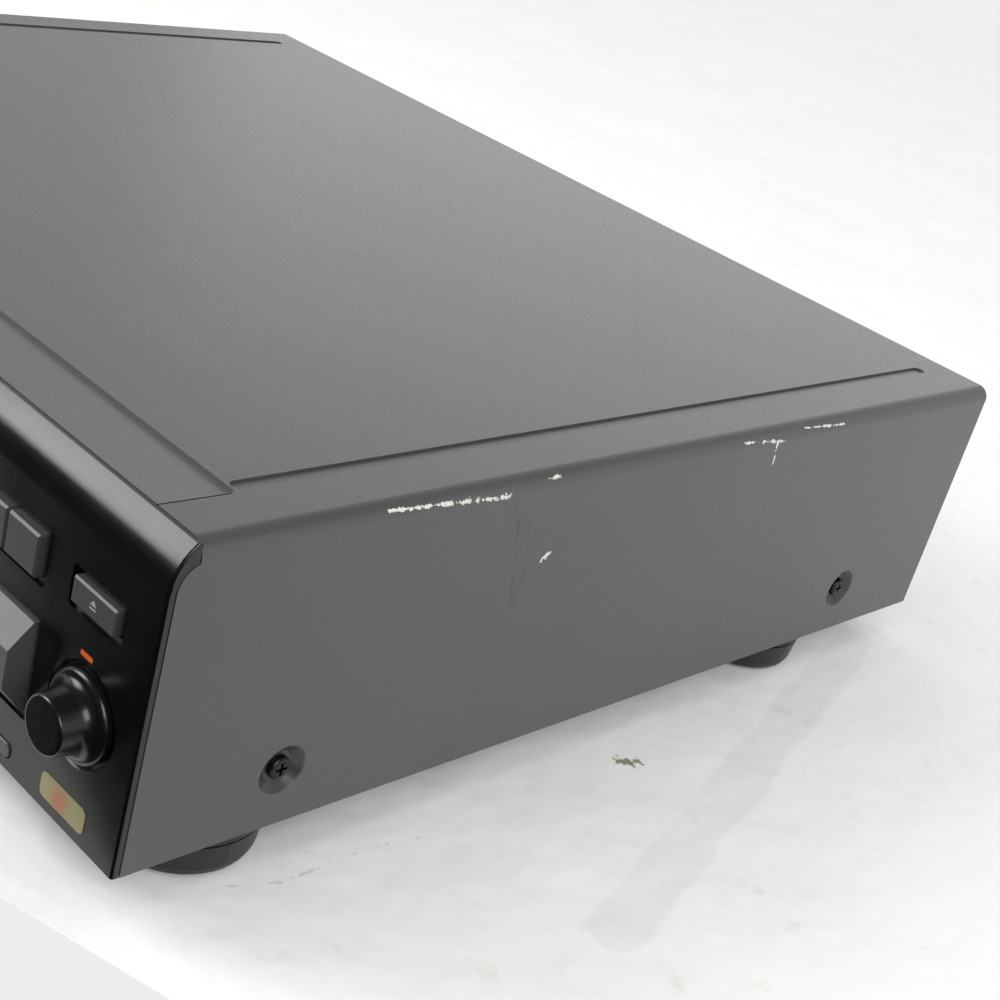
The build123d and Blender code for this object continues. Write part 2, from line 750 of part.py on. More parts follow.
def front_bezel():
    edge = half - 0.2
    z0, z1 = case_z, roof_z - seat_gap
    y_back = cover_y + bezel_inset
    bezel = front_solid(-edge, edge, 0, y_back, z0, z1)
    ends = [e for e in bezel.edges() if abs(abs(e.center().X) - edge) < 0.01]
    soft = [e for e in ends if e.geom_type == GeomType.CIRCLE or e.center().Y < face_y + 0.01]
    bezel = fillet(soft, bezel_corner)
    inner_x = edge - bezel_wall
    bezel -= front_solid(-inner_x, inner_x, bezel_wall, y_back + 5, z0 + bezel_base, z1 - bezel_wall)
    # thicker panel behind each recess
    for group in key_groups:
        if next(iter(group.values())).floor > face_y:
            x0, x1, low, high = group_edges(group, pocket_margin + 1.5)
            back = face_y + pocket_depth + pocket_floor
            bezel += block(x0, x1, face_y + 1, back, max(low, z0 + 0.5), high)
            bezel -= plate_y(*group_edges(group, pocket_margin), face_y - 1, face_y + pocket_depth, 1.2)
        for edges in hole_edges(group):
            corner = next(iter(group.values())).corner + key_gap
            bezel -= plate_y(*edges, face_y - 1, cover_y + 6, corner)
    bezel += along_y(knob_x, knob_z, face_y + 1, face_y + pocket_depth + pocket_floor, dish_r + 1.5)
    dish = Cone(dish_r, dish_r - 1.2, pocket_depth)
    bezel -= Pos(knob_x, face_y + pocket_depth / 2, knob_z) * Rot(-90, 0, 0) * dish
    bezel -= along_y(knob_x, knob_z, face_y, cover_y + 6, shaft_radius + move_gap)
    bezel -= along_y(level_x, low_row_z, face_y - 1, cover_y + 6, level_radius + move_gap)
    bezel -= along_y(socket_x, low_row_z, face_y - 1, cover_y + 6, socket_nose + seat_gap)
    # the drawer's mouth and the display's window
    bezel -= plate_y(mouth_x0, mouth_x1, mouth_z0, mouth_z1, face_y - 1, y_back - 1, 1.5)
    low, high = case_z + window_low, case_z + window_high
    bezel -= plate_y(window_left, window_right, low, high, face_y - 1, face_y + window_thick + 0.15, 2.0)
    bezel -= plate_y(
        window_left + window_rebate, window_right - window_rebate,
        low + window_rebate, high - window_rebate, face_y - 1, cover_y + 6, 1.0,
    )
    # the cover's sides and roof lap over the rim
    lap = seam_space(0.3, y_back + 5, z0 - 5, roof_z + 5)
    rim_half = inner_half - 0.2
    rim = block(-rim_half, rim_half, cover_y - 5, y_back + 10, z0 - 10, roof_z - cover_sheet - tongue_room)
    lap -= fillet(rim.edges().filter_by(Axis.Y).group_by(Axis.Z)[-1], cover_bend)
    return bezel - lap


tongue_room = tongue_drop * (bezel_inset - lip_back) / (groove_start - lip_back) + 0.3
shaft_radius = 3.0
level_radius = 5.5
socket_nose = 5.6


def hole_edges(group):
    """Holes through the panel: one round a pocketed group, or one for each key."""
    keys = list(group.values())
    if keys[0].floor > face_y and keys[-1].x - keys[0].x < (keys[0].width + 1) * len(keys):
        return [group_edges(group, key_gap)]
    return [key.outline(key_gap) for key in keys]


def display_window():
    low, high = case_z + window_low, case_z + window_high
    pane = plate_y(
        window_left + seat_gap, window_right - seat_gap, low + seat_gap, high - seat_gap,
        face_y + 0.15, face_y + 0.15 + window_thick, 1.9,
    )
    return chamfer(pane.faces().sort_by(Axis.Y)[0].edges(), 0.3)


def display_tube():
    """A flat vacuum display: a glass box with its sealed tip, on the front board."""
    middle = (window_left + window_right) / 2
    low, high = case_z + window_low + 3, case_z + window_high - 3
    tube = plate_y(middle - 78, middle + 78, low, high, board_y - 7, board_y - 1.5, 1.0)
    tube += along_y(middle + 70, high - 4, board_y - 1.5, board_y - 0.3, 2.0)
    return tube


def front_board():
    z0 = case_z + 3.5
    y1 = board_y + board_thick
    edge = base_half - 4
    board = block(-edge, edge, board_y, y1, z0 + 8, case_z + 48)
    board += block(mouth_x1 + 6, edge, board_y, y1, case_z + 46, case_z + 80)
    board += block(-edge, edge, board_y, y1, z0, z0 + 10)
    return board


def key_switches():
    """One tact switch on the front board behind each key."""
    switches = []
    for key in all_keys.values():
        body = block(key.x - 3, key.x + 3, switch_y + 1.0, board_y, key.z - 1.9, key.z + 1.9)
        switches.append(body + along_y(key.x, key.z, switch_y, switch_y + 1.0, 1.5))
    return Compound(switches)


def front_controls():
    """The jog encoder, the level potentiometer and the headphone socket, all on the front board."""
    return Compound([jog_encoder(), level_pot(), headphone_socket()])


def jog_encoder():
    """A housing with a bush for the shaft."""
    y0, y1 = board_y - 8.5, board_y
    body = plate_y(knob_x - 8, knob_x + 8, knob_z - 8, knob_z + 8, y0, y1, 1.0)
    body += along_y(knob_x, knob_z, y0 - 3.5, y0, 4.6)
    return body - along_y(knob_x, knob_z, y0 - 4, y1 - 1, shaft_radius + run_gap)


def jog_shaft():
    """The encoder's steel shaft, with the flat that drives the knob."""
    front = face_y - 3.0
    shaft = along_y(knob_x, knob_z, front, board_y - 1.3, shaft_radius)
    shaft = chamfer(shaft.edges().filter_by(GeomType.CIRCLE), 0.3)
    return shaft - shaft_flat()


def shaft_flat():
    """The space beside the flat on the shaft's front end."""
    return block(knob_x - 4, knob_x + 4, face_y - 4, face_y + 1, knob_z + shaft_radius - 1.0, knob_z + 4)


def jog_knob():
    """A turned knob: a straight barrel with a soft end, flaring to a round skirt in the dish."""
    seat = face_y + pocket_depth - 0.4
    end = face_y - knob_reach

    def at(radius, forward):
        return (radius, face_y - forward)

    barrel = Polyline((0, seat), (12.3, seat), at(12.3, 0.6))
    skirt = ThreePointArc(at(12.3, 0.6), at(11.75, 1.55), at(10.8, 1.9))
    flare = Spline(at(10.8, 1.9), at(9.4, 2.9), at(8.5, 5.4), tangents=[(-1, -0.25), (-0.12, -1)])
    side = Line(at(8.5, 5.4), (7.8, end + 1.0))
    soft = ThreePointArc((7.8, end + 1.0), (7.45, end + 0.28), (6.7, end))
    cap = Line((6.7, end), (0, end))
    axis = Line((0, end), (0, seat))
    face = make_face(Curve() + [barrel, skirt, flare, side, soft, cap, axis])
    knob = revolve(face, Axis.Y)
    knob = Pos(knob_x, 0, knob_z) * knob
    bore = along_y(knob_x, knob_z, face_y - 3.0, cover_y + 5, shaft_radius)
    return knob - (bore - shaft_flat())


def level_pot():
    y0, y1 = board_y - 7, board_y
    body = plate_y(level_x - 6, level_x + 6, low_row_z - 7, low_row_z + 5, y0, y1, 0.8)
    body += along_y(level_x, low_row_z, y0 - 3, y0, 3.6)
    return body - along_y(level_x, low_row_z, y0 - 4, y1 - 1, 2.0 + run_gap)


def level_knob():
    """A small fluted knob with its shaft in the potentiometer."""
    knob = along_y(level_x, low_row_z, face_y - 7.5, cover_y + 3, level_radius)
    knob = chamfer(knob.edges().filter_by(GeomType.CIRCLE).sort_by(Axis.Y)[0], 0.7)
    for k in range(12):
        angle = radians(30 * k)
        x = level_x + (level_radius + 0.35) * cos(angle)
        z = low_row_z + (level_radius + 0.35) * sin(angle)
        knob -= along_y(x, z, face_y - 8, face_y - 0.8, 0.7)
    return knob + along_y(level_x, low_row_z, cover_y + 2, board_y - 1.5, 2.0)


def headphone_socket():
    """A 6.3 mm jack socket: a nut ring on the panel and a housing on the front board."""
    y0 = face_y - 0.8
    body = plate_y(socket_x - 8, socket_x + 8, low_row_z - 8.5, low_row_z + 8.5, cover_y + 2, board_y, 1.0)
    body += along_y(socket_x, low_row_z, y0, cover_y + 2, socket_nose)
    return body - along_y(socket_x, low_row_z, y0 - 1, y0 + socket_length, socket_bore)


# ---------------------------------------------------------------- drawer
table_x = mid_x
corner_turn = 225.0  # the table's drive gear stands in the drawer's front left corner
ring_teeth = int(2 * (table_radius - 0.95 * ring_module) / ring_module)
drive_span = (ring_teeth + drive_teeth) * ring_module / 2
drive_x = table_x + drive_span * cos(radians(corner_turn))
drive_y = table_y + drive_span * sin(radians(corner_turn))
ring_turn = corner_turn  # a tooth of the ring points at the drive gear
table_motor_radius = 10.5
table_motor_x = table_x - tray_half + tray_wall + table_motor_radius + 2.5
table_motor_y = tray_y + tray_wall + table_motor_radius + 1.0
drive_groove = 9.0
table_pulley_groove = 2.2
tray_pulley_z = tray_z - pulley_height - 0.4
dome_radius = table_motor_radius + 1.8
skin_thick = 1.2
skin_z = well_z - skin_thick - 0.1

load_x = mid_x + rack_in - rack_module * load_teeth / 2
load_y = cover_y + load_gear_back
load_span = (wheel_teeth + pinion_teeth) * wheel_module / 2
idle_x = load_x + load_span * cos(radians(train_angle))
idle_y = load_y + load_span * sin(radians(train_angle))
load_motor_x = idle_x - load_motor_span
load_motor_y = idle_y
load_pulley_z = deck_top + 1.5
wheel_z = load_pulley_z + pulley_height + 0.8
wheel_height = 3.5
load_gear_z = hang_z + 0.4
load_gear_height = 3.0


def carousel_table():
    """The moulded turntable: five wells' floors, each with a window, over a toothed ring and a hub."""
    ring_root = ring_module * ring_teeth / 2 - 1.15 * ring_module
    table = upright(table_x, table_y, web_z, well_z, ring_root - 0.1)
    table += upright(table_x, table_y, ring_z + ring_height, well_z, table_radius)
    ring = gear(ring_module, ring_teeth, table_x, table_y, ring_z, ring_z + ring_height, ring_turn, steps=2)
    table += ring - upright(table_x, table_y, ring_z - 1, web_z, ring_root - 3.5)
    table += upright(table_x, table_y, ring_z, well_z, table_hub)
    for k in range(well_count):
        rib = block(table_hub - 2, ring_root - 2, -0.8, 0.8, ring_z, web_z + 0.5)
        table += Pos(table_x, table_y, 0) * Rot(0, 0, 90 + 360 * (k + 0.5) / well_count) * rib
    for k in range(well_count):
        table -= Pos(table_x, table_y, 0) * Rot(0, 0, 360 * k / well_count) * disc_window()
    return table - upright(table_x, table_y, ring_z - 1, well_z + 1, axle_radius + run_gap)


def disc_dividers():
    """The lands that stand between the wells: five towards the rim and a star over the hub."""
    well = Circle(well_radius)
    star = Circle(star_radius)
    for k in range(well_count):
        place = radians(90 + 360 * k / well_count)
        star -= Pos(well_circle * cos(place), well_circle * sin(place)) * well
    step = radians(180 / well_count)
    far_x, far_y = (1.2 * table_radius * f(radians(land_angle)) for f in (sin, cos))
    land = make_face(Polyline((0, 0), (-far_x, far_y), (far_x, far_y), close=True))
    land &= Circle(table_radius - 1.0)
    for side in (-1, 1):
        land -= Pos(side * well_circle * sin(step), well_circle * cos(step)) * well
    # what is left nearer the hub than the cusp belongs to the star
    land -= Circle(well_circle * cos(step) + 1.0)
    over_hub = land_solid(star, 2.0) - upright(0, 0, well_z - 1, rim_z - 3, axle_radius + run_gap)
    outer = land_solid(land, 1.5)
    lands = [over_hub] + [Rot(0, 0, 360 * (k + 0.5) / well_count) * outer for k in range(well_count)]
    return Compound([Pos(table_x, table_y, 0) * piece for piece in lands])


def land_solid(outline, corner):
    """A land of that outline: rounded in plan, with a lead-in round its upper edge."""
    face = fillet(outline.vertices(), corner)
    solid = extrude(Pos(0, 0, well_z) * face, well_depth)
    return chamfer(solid.faces().sort_by(Axis.Z)[-1].edges(), lead_in)


def disc_window():
    """The opening in the rear well's floor: a round hole for the platter and a slot for the pickup."""
    hole = upright(0, well_circle, ring_z - 1, rim_z + 1, platter_radius + 3.5)
    slot_end = well_circle - lens_rest - sled_travel - 12
    slot = plate_z(-17, 17, slot_end, well_circle, ring_z - 1, rim_z + 1, 6.0)
    return hole + slot


def disc_drawer():
    """The sliding tray: floor, walls, corner skin, runners and the rack under it."""
    x0, x1 = mid_x - tray_half, mid_x + tray_half
    inside = (x0 + tray_wall, x1 - tray_wall, tray_y + tray_wall, tray_back - tray_wall)
    tray = block(x0, x1, tray_y, tray_back, tray_z, wall_z) - block(*inside, floor_z, wall_z + 1)
    # the corners are closed level with the wells' floors, and a dome covers the motor
    inside_skin = block(*inside, skin_z, skin_z + skin_thick)
    skin = inside_skin - upright(table_x, table_y, floor_z, wall_z + 1, table_radius + tray_gap)
    dome = upright(table_motor_x, table_motor_y, skin_z, wall_z, dome_radius)
    skin += dome & block(*inside, skin_z, wall_z)
    skin -= upright(table_motor_x, table_motor_y, skin_z - 1, wall_z - 1.4, dome_radius - 1.4)
    tray += skin
    # slot over the optical unit, open to the rear under the back wall
    slot_y = table_y + hub_boss + 1.5
    tray -= block(mid_x - window_half, mid_x + window_half, slot_y, tray_back + 1, tray_z - 1, ring_z + 0.5)
    for side in (-1, 1):
        edge = sorted((mid_x + side * (tray_half - 0.5), mid_x + side * runner_half))
        tray += block(*edge, tray_y + 12, tray_back, tray_z, tray_z + runner_height)
    rack_x = mid_x + rack_in
    tray += rack(
        rack_module, rack_x, -1, load_y - 12, load_y + drawer_travel + 12,
        hang_z, tray_z + 0.5, rack_x + 5, load_y,
    )
    # boss for the table's axle, well for the drive gear's shaft and seat for the motor
    tray += upright(table_x, table_y, tray_z, ring_z - 0.3, hub_boss)
    tray -= upright(table_x, table_y, tray_z - 1, ring_z + 1, axle_radius)
    tray += upright(drive_x, drive_y, tray_z, floor_z + 0.6, 5.0)
    tray -= upright(drive_x, drive_y, tray_z - 1, floor_z + 2, post_radius + run_gap)
    tray -= upright(table_motor_x, table_motor_y, tray_z - 1, floor_z + 1, 3.5)
    return tray


def drawer_front():
    """The drawer's curved front, a shallow shell with bosses that seat on the tray's front wall."""
    x0, x1 = mouth_x0 + front_gap, mouth_x1 - front_gap
    z0, z1 = mouth_z0 + front_gap, mouth_z1 - front_gap
    panel = front_solid(x0, x1, 0, tray_y, z0, z1)
    panel -= front_solid(x0 + 2.5, x1 - 2.5, bezel_wall, tray_y + 1, z0 + 2.5, z1 - 2.5)
    for k in range(7):
        x = x0 + 20 + (x1 - x0 - 40) * k / 6
        panel += along_y(x, (tray_z + wall_z) / 2, face_y + 1.5, tray_y, 3.0)
    return panel


def table_axle():
    axle = upright(table_x, table_y, tray_z, rim_z - 3.5, axle_radius)
    return chamfer(axle.edges().sort_by(Axis.Z)[-1], 0.5)


def table_drive_gear():
    """The small gear that turns the carousel, with its shaft and the pulley under the tray."""
    turn = meshed(ring_turn, ring_teeth, corner_turn, drive_teeth)
    top = skin_z - move_gap
    body = gear(ring_module, drive_teeth, drive_x, drive_y, ring_z + 0.1, top, turn)
    body += upright(drive_x, drive_y, tray_pulley_z, ring_z + 1, post_radius)
    return body + pulley(drive_x, drive_y, tray_pulley_z, drive_groove)


def table_motor():
    can = small_motor(table_motor_x, table_motor_y, floor_z, wall_z - 2.0, table_motor_radius)
    can += upright(table_motor_x, table_motor_y, tray_z, floor_z + 1, 3.2)
    return can - upright(table_motor_x, table_motor_y, tray_z - 1, wall_z - 4, spindle_radius + run_gap)


def table_motor_pulley():
    body = pulley(table_motor_x, table_motor_y, tray_pulley_z, table_pulley_groove)
    return body + upright(table_motor_x, table_motor_y, tray_pulley_z, wall_z - 4.5, spindle_radius)


def table_belt():
    z = tray_pulley_z + flange_thick + belt_gap
    return belt(drive_x, drive_y, drive_groove, table_motor_x, table_motor_y, table_pulley_groove, z)


# ---------------------------------------------------------------- mechanism deck and loading drive
def mechanism_deck():
    """The moulded deck that carries the rails, the loading train, the optical unit and the clamp bridge."""
    wall_in = runner_half + 0.5
    wall_out = wall_in + rail_wall
    y0, y1 = cover_y + deck_front, cover_y + deck_back
    x0, x1 = mid_x - wall_out, mid_x + wall_out
    deck = block(x0, x1, y0, y1, deck_z, deck_top)
    window_y0, window_y1 = pivot_y - 16, play_y + 40
    deck -= plate_z(mid_x - 54, mid_x + 54, window_y0, window_y1, deck_z - 1, deck_top + 1, 5.0)
    for side in (-1, 1):
        wall = sorted((mid_x + side * wall_in, mid_x + side * wall_out))
        deck += block(*wall, y0, y1, deck_z, tray_z + runner_height + 2.4)
        ledge = sorted((mid_x + side * (tray_half - 3.0), mid_x + side * wall_in))
        deck += block(*ledge, y0, y1, tray_z - 2.4, tray_z - move_gap)
        lip = sorted((mid_x + side * (tray_half + 0.6), mid_x + side * wall_in))
        deck += block(*lip, y0, y0 + 60, tray_z + runner_height + move_gap, tray_z + runner_height + 2.4)
        post = sorted((mid_x + side * wall_in, mid_x + side * wall_out))
        deck += block(*post, play_y - bridge_half, play_y + bridge_half, deck_z, bridge_z)
        cheek = sorted((mid_x + side * (unit_half + 3.5), mid_x + side * (unit_half + 14)))
        deck += block(*cheek, pivot_y - 7, pivot_y + 7, deck_z, pivot_z + 4.5)
        bore = sorted((mid_x + side * unit_half, mid_x + side * (unit_half + 10.5)))
        deck -= along_x(pivot_y, pivot_z, *bore, pin_radius + run_gap)
    for x, y in deck_legs():
        deck += upright(x, y, case_z + base_sheet, deck_z, leg_radius)
    # lightening holes
    for side in (-1, 1):
        for y in (table_y + 10, table_y + 80):
            x = mid_x + side * 105
            deck -= plate_z(x - 32, x + 32, y - 25, y + 25, deck_z - 1, deck_top + 1, 8.0)
    deck += upright(load_x, load_y, deck_top - 1, load_gear_z + load_gear_height, post_radius)
    deck += upright(load_x, load_y, deck_top - 1, wheel_z - 0.4, post_radius + 2)
    deck += upright(idle_x, idle_y, deck_top - 1, wheel_z + wheel_height + 0.5, post_radius)
    deck += upright(idle_x, idle_y, deck_top - 1, load_pulley_z - 0.4, post_radius + 2)
    deck -= upright(load_motor_x, load_motor_y, deck_z - 1, deck_top + 1, 4.0)
    return deck


def deck_legs():
    """Where the deck stands on the chassis."""
    left, right = mid_x - 160, mid_x + 160
    rows = [(left, 30), (left, 180), (left, 332), (right, 30), (right, 332)]
    return [(x, cover_y + y) for x, y in rows]


def loading_motor():
    can = small_motor(load_motor_x, load_motor_y, deck_z - 20, deck_z, motor_radius)
    can += upright(load_motor_x, load_motor_y, deck_z - 1, deck_top, 3.6)
    return can - upright(load_motor_x, load_motor_y, deck_z - 14, deck_top + 1, spindle_radius + run_gap)


def loading_motor_pulley():
    body = pulley(load_motor_x, load_motor_y, load_pulley_z, motor_pulley_radius)
    return body + upright(load_motor_x, load_motor_y, deck_z - 13, load_pulley_z + 1, spindle_radius)


def loading_belt():
    z = load_pulley_z + flange_thick + belt_gap
    return belt(idle_x, idle_y, load_pulley_radius, load_motor_x, load_motor_y, motor_pulley_radius, z)


load_turn = 0.0  # a tooth of the drive gear's upper gear points at the rack
wheel_turn = train_angle  # a tooth of its lower wheel points at the pinion


def loading_drive_gear():
    """The last gear of the loading train: a wide wheel below and the rack's gear above."""
    top = load_gear_z + load_gear_height
    body = gear(wheel_module, wheel_teeth, load_x, load_y, wheel_z, wheel_z + wheel_height, wheel_turn)
    body += upright(load_x, load_y, wheel_z, load_gear_z + 1, 8.0)
    body += gear(rack_module, load_teeth, load_x, load_y, load_gear_z, top, load_turn)
    return body - upright(load_x, load_y, wheel_z - 1, load_gear_z + 5, post_radius + run_gap)


def loading_pulley_gear():
    turn = meshed(wheel_turn, wheel_teeth, train_angle, pinion_teeth)
    body = pulley(idle_x, idle_y, load_pulley_z, load_pulley_radius)
    body += upright(idle_x, idle_y, load_pulley_z, wheel_z + 1, 6.0)
    body += gear(wheel_module, pinion_teeth, idle_x, idle_y, wheel_z, wheel_z + wheel_height, turn)
    return body - upright(idle_x, idle_y, load_pulley_z - 1, wheel_z + 6, post_radius + run_gap)


def clamp_bridge():
    """A pressed steel bridge over the table that carries the clamping puck."""
    wall_out = runner_half + 0.5 + rail_wall
    x0, x1 = mid_x - wall_out, mid_x + wall_out
    y0, y1 = play_y - bridge_half, play_y + bridge_half
    bridge = block(x0, x1, y0, y1, bridge_z, bridge_z + bridge_thick)
    for y in (y0, y1 - bridge_thick):
        bridge += block(x0 + 12, x1 - 12, y, y + bridge_thick, bridge_z, bridge_z + 6)
    bridge += upright(mid_x, play_y, bridge_z, bridge_z + bridge_thick, 26.0)
    for side in (-1, 1):
        x = mid_x + side * 90
        bridge -= plate_z(x - 35, x + 35, play_y - 7, play_y + 7, bridge_z - 1, bridge_z + 4, 5.0)
    return bridge - upright(mid_x, play_y, bridge_z - 1, bridge_z + 4, puck_neck + 0.5)


def clamp_puck():
    """The magnetic puck: a disc under the bridge, a neck through it and a flange that hangs on it."""
    bridge_top = bridge_z + bridge_thick
    puck = upright(mid_x, play_y, puck_z, puck_z + puck_thick, puck_radius)
    puck += upright(mid_x, play_y, puck_z, bridge_top + 1, puck_neck)
    puck += upright(mid_x, play_y, bridge_top + 0.5, bridge_top + 2.5, puck_radius - 1)
    return puck - upright(mid_x, play_y, puck_z - 1, puck_z + cone_height + 0.8, cone_radius + 0.7)


# ---------------------------------------------------------------- optical unit
def lowered(shape):
    """Turns a piece of the optical unit from its raised, level position down to rest."""
    return Pos(0, pivot_y, pivot_z) * Rot(-unit_drop, 0, 0) * Pos(0, -pivot_y, -pivot_z) * shape


rod_z = unit_z - 0.8
sled_rail_y = play_y - 12.0
sled_gear_x = mid_x + sled_half + 2.0 + sled_module * sled_gear_teeth / 2
sled_gear_y = play_y - 52.0
sled_gear_z = unit_top + 0.8
sled_gear_height = 2.2
sled_rack_x = sled_gear_x - sled_module * sled_gear_teeth / 2
sled_pinion_y = sled_gear_y - (sled_gear_teeth + sled_pinion_teeth) * sled_module / 2
lens_y = play_y - lens_rest


def optical_deck():
    """The unit's deck: a plate with a window for the sled, skirts, and pins in the deck's cheeks."""
    x0, x1 = mid_x - unit_half, mid_x + unit_half
    y0, y1 = pivot_y - 6, play_y + 22
    skirt = pivot_z - pin_radius - 0.5
    deck = block(x0, x1, y0, y1, skirt, unit_top)
    deck -= block(x0 + 2, x1 - 2, y0 + 2, y1 - 2, skirt - 1, unit_z)
    bay_half, bay_y = sled_half + 1, lens_y - sled_travel - 28
    deck -= plate_z(mid_x - bay_half, mid_x + bay_half, bay_y, sled_rail_y, unit_z - 1, unit_top + 1, 2.0)
    for y in (lens_y - sled_travel - 30, sled_rail_y):
        for side in (-1, 1):
            x = mid_x + side * rod_in
            holder = block(x - 3.5, x + 3.5, y - 0.5, y + 2.5, rod_z - 3, unit_z + 0.5)
            deck += holder
            deck -= along_y(x, rod_z, y - 2, y + 4, rod_radius)
    for side in (-1, 1):
        pin = sorted((mid_x + side * (unit_half - 1), mid_x + side * (unit_half + 10)))
        deck += along_x(pivot_y, pivot_z, *pin, pin_radius)
    deck -= upright(mid_x, play_y, unit_z - 1, unit_top + 1, 4.5)
    deck -= upright(sled_gear_x, sled_gear_y, unit_z - 1, unit_top + 1, 1.5)
    deck -= upright(sled_gear_x, sled_pinion_y, unit_z - 1, unit_top + 1, 3.3)
    deck += upright(sled_gear_x, sled_gear_y, unit_z, sled_gear_z + sled_gear_height, 1.5)
    return lowered(deck)


def guide_rods():
    y0 = lens_y - sled_travel - 30.5
    y1 = sled_rail_y + 2.5
    rods = [along_y(mid_x + side * rod_in, rod_z, y0, y1, rod_radius) for side in (-1, 1)]
    return Compound([lowered(rod) for rod in rods])


def unit_motors():
    """The motors that turn the disc and drive the sled."""
    return Compound([spindle_motor(), sled_motor()])


def spindle_motor():
    can = small_motor(mid_x, play_y, unit_z - 12, unit_z, 11.0)
    can += upright(mid_x, play_y, unit_z - 1, unit_top + 0.5, 4.0)
    can -= upright(mid_x, play_y, unit_z - 9, unit_top + 1, spindle_radius + run_gap)
    return lowered(can)


def disc_platter():
    """The turntable that the disc sits on: a flange, a centring cone and the motor's shaft."""
    platter = upright(mid_x, play_y, disc_z - 2.2, disc_z, platter_radius)
    platter += upright(mid_x, play_y, unit_top + 1.2, disc_z, 5.0)
    cone = Cone(cone_radius, cone_radius - 1.6, cone_height)
    platter += Pos(mid_x, play_y, disc_z + cone_height / 2) * cone
    platter += upright(mid_x, play_y, unit_z - 8, disc_z, spindle_radius)
    return lowered(platter)


def sled_motor():
    can = small_motor(sled_gear_x, sled_pinion_y, unit_z - 9, unit_z, 7.5)
    can += upright(sled_gear_x, sled_pinion_y, unit_z - 1, unit_top + 0.3, 3.0)
    can -= upright(sled_gear_x, sled_pinion_y, unit_z - 7, unit_top + 1, 0.8 + run_gap)
    return lowered(can)


def sled_pinion():
    turn = meshed(sled_turn, sled_gear_teeth, 270, sled_pinion_teeth)
    top = sled_gear_z + sled_gear_height
    body = gear(sled_module, sled_pinion_teeth, sled_gear_x, sled_pinion_y, sled_gear_z, top, turn)
    body += upright(sled_gear_x, sled_pinion_y, unit_z - 6, sled_gear_z + 1, 0.8)
    return lowered(body)


sled_turn = 180.0  # a tooth of the sled gear points at the sled's rack


def sled_gear():
    top = sled_gear_z + sled_gear_height
    body = gear(sled_module, sled_gear_teeth, sled_gear_x, sled_gear_y, sled_gear_z, top, sled_turn)
    return lowered(body - upright(sled_gear_x, sled_gear_y, sled_gear_z - 1, sled_gear_z + 5, 1.5 + run_gap))


def pickup_sled():
    """The laser sled: a body on the two rods, a lens turret and the rack along its side."""
    y0, y1 = lens_y - 23, lens_y + 9
    body = block(mid_x - sled_half + 1, mid_x + sled_half - 1, y0, y1, rod_z - 4, unit_top + 2.6)
    body = fillet(body.edges().filter_by(Axis.Z), 2.0)
    for side in (-1, 1):
        body -= along_y(mid_x + side * rod_in, rod_z, y0 - 1, y1 + 1, rod_radius + run_gap)
    body += upright(mid_x, lens_y, unit_top + 1, disc_z - 3.2, 8.0)
    body -= upright(mid_x, lens_y, disc_z - 4.2, disc_z - 2, 5.5)
    body += rack(
        sled_module, sled_rack_x, 1, sled_gear_y - 5, sled_gear_y + sled_travel + 5,
        sled_gear_z, sled_gear_z + sled_gear_height, mid_x + sled_half - 3, sled_gear_y,
    )
    return lowered(body)


def objective_lens():
    top = disc_z - lens_under_disc
    lens = upright(mid_x, lens_y, disc_z - 4.2, top - 0.6, lens_radius + 0.8)
    lens += upright(mid_x, lens_y, top - 0.7, top, lens_radius)
    return lowered(fillet(lens.edges().sort_by(Axis.Z)[-1], 0.45))


def power_transformer():
    """A laminated core round a wound bobbin, on a strap bracket with two feet."""
    x0, x1 = -half + 22, -half + 74
    y0, y1 = cover_y + 268, cover_y + 312
    z0 = case_z + base_sheet
    core = block(x0, x1, y0 + 12, y1 - 12, z0, z0 + 34)
    bobbin = block(x0 + 9, x1 - 9, y0, y1, z0 + 5, z0 + 29)
    bobbin = fillet(bobbin.edges().filter_by(Axis.X), 5.0)
    tabs = block(x0 - 9, x1 + 9, y0 + 14, y1 - 14, z0, z0 + 1.5)
    for x in (x0 - 5, x1 + 5):
        tabs -= upright(x, (y0 + y1) / 2, z0 - 1, z0 + 3, 1.8)
    return core + bobbin + tabs


# ---------------------------------------------------------------- all pieces
def pieces():
    """Every piece by the name of its file."""
    makers = [
        top_cover, cover_screws, chassis_base, rear_panel, feet, foot_pads, front_bezel, display_window,
        display_tube, front_board, key_switches, front_controls, jog_shaft, jog_knob, level_knob,
        main_board, board_parts, power_transformer, rear_sockets, cord_bushing,
        mechanism_deck, loading_motor, loading_motor_pulley, loading_belt, loading_drive_gear,
        loading_pulley_gear, clamp_bridge, clamp_puck, disc_drawer, drawer_front, table_axle,
        table_drive_gear, table_motor, table_motor_pulley, table_belt, carousel_table, disc_dividers,
        optical_deck, guide_rods, unit_motors, disc_platter, pickup_sled, objective_lens, sled_gear,
        sled_pinion,
    ]
    made = {make.__name__: make() for make in makers}
    made.update({name: key_solid(key) for name, key in all_keys.items()})
    return made


def main():
    os.makedirs("parts", exist_ok=True)
    for name, shape in pieces().items():
        export_step(shape, f"parts/{name}.step")


if __name__ == "__main__":
    main()
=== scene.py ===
"""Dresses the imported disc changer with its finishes, its printed marks and a plain studio."""

import math

import bmesh
import bpy
from bpy.props import FloatProperty, FloatVectorProperty, PointerProperty, StringProperty
from bpy.types import Operator, Panel, PropertyGroup
from mathutils import Matrix, Vector


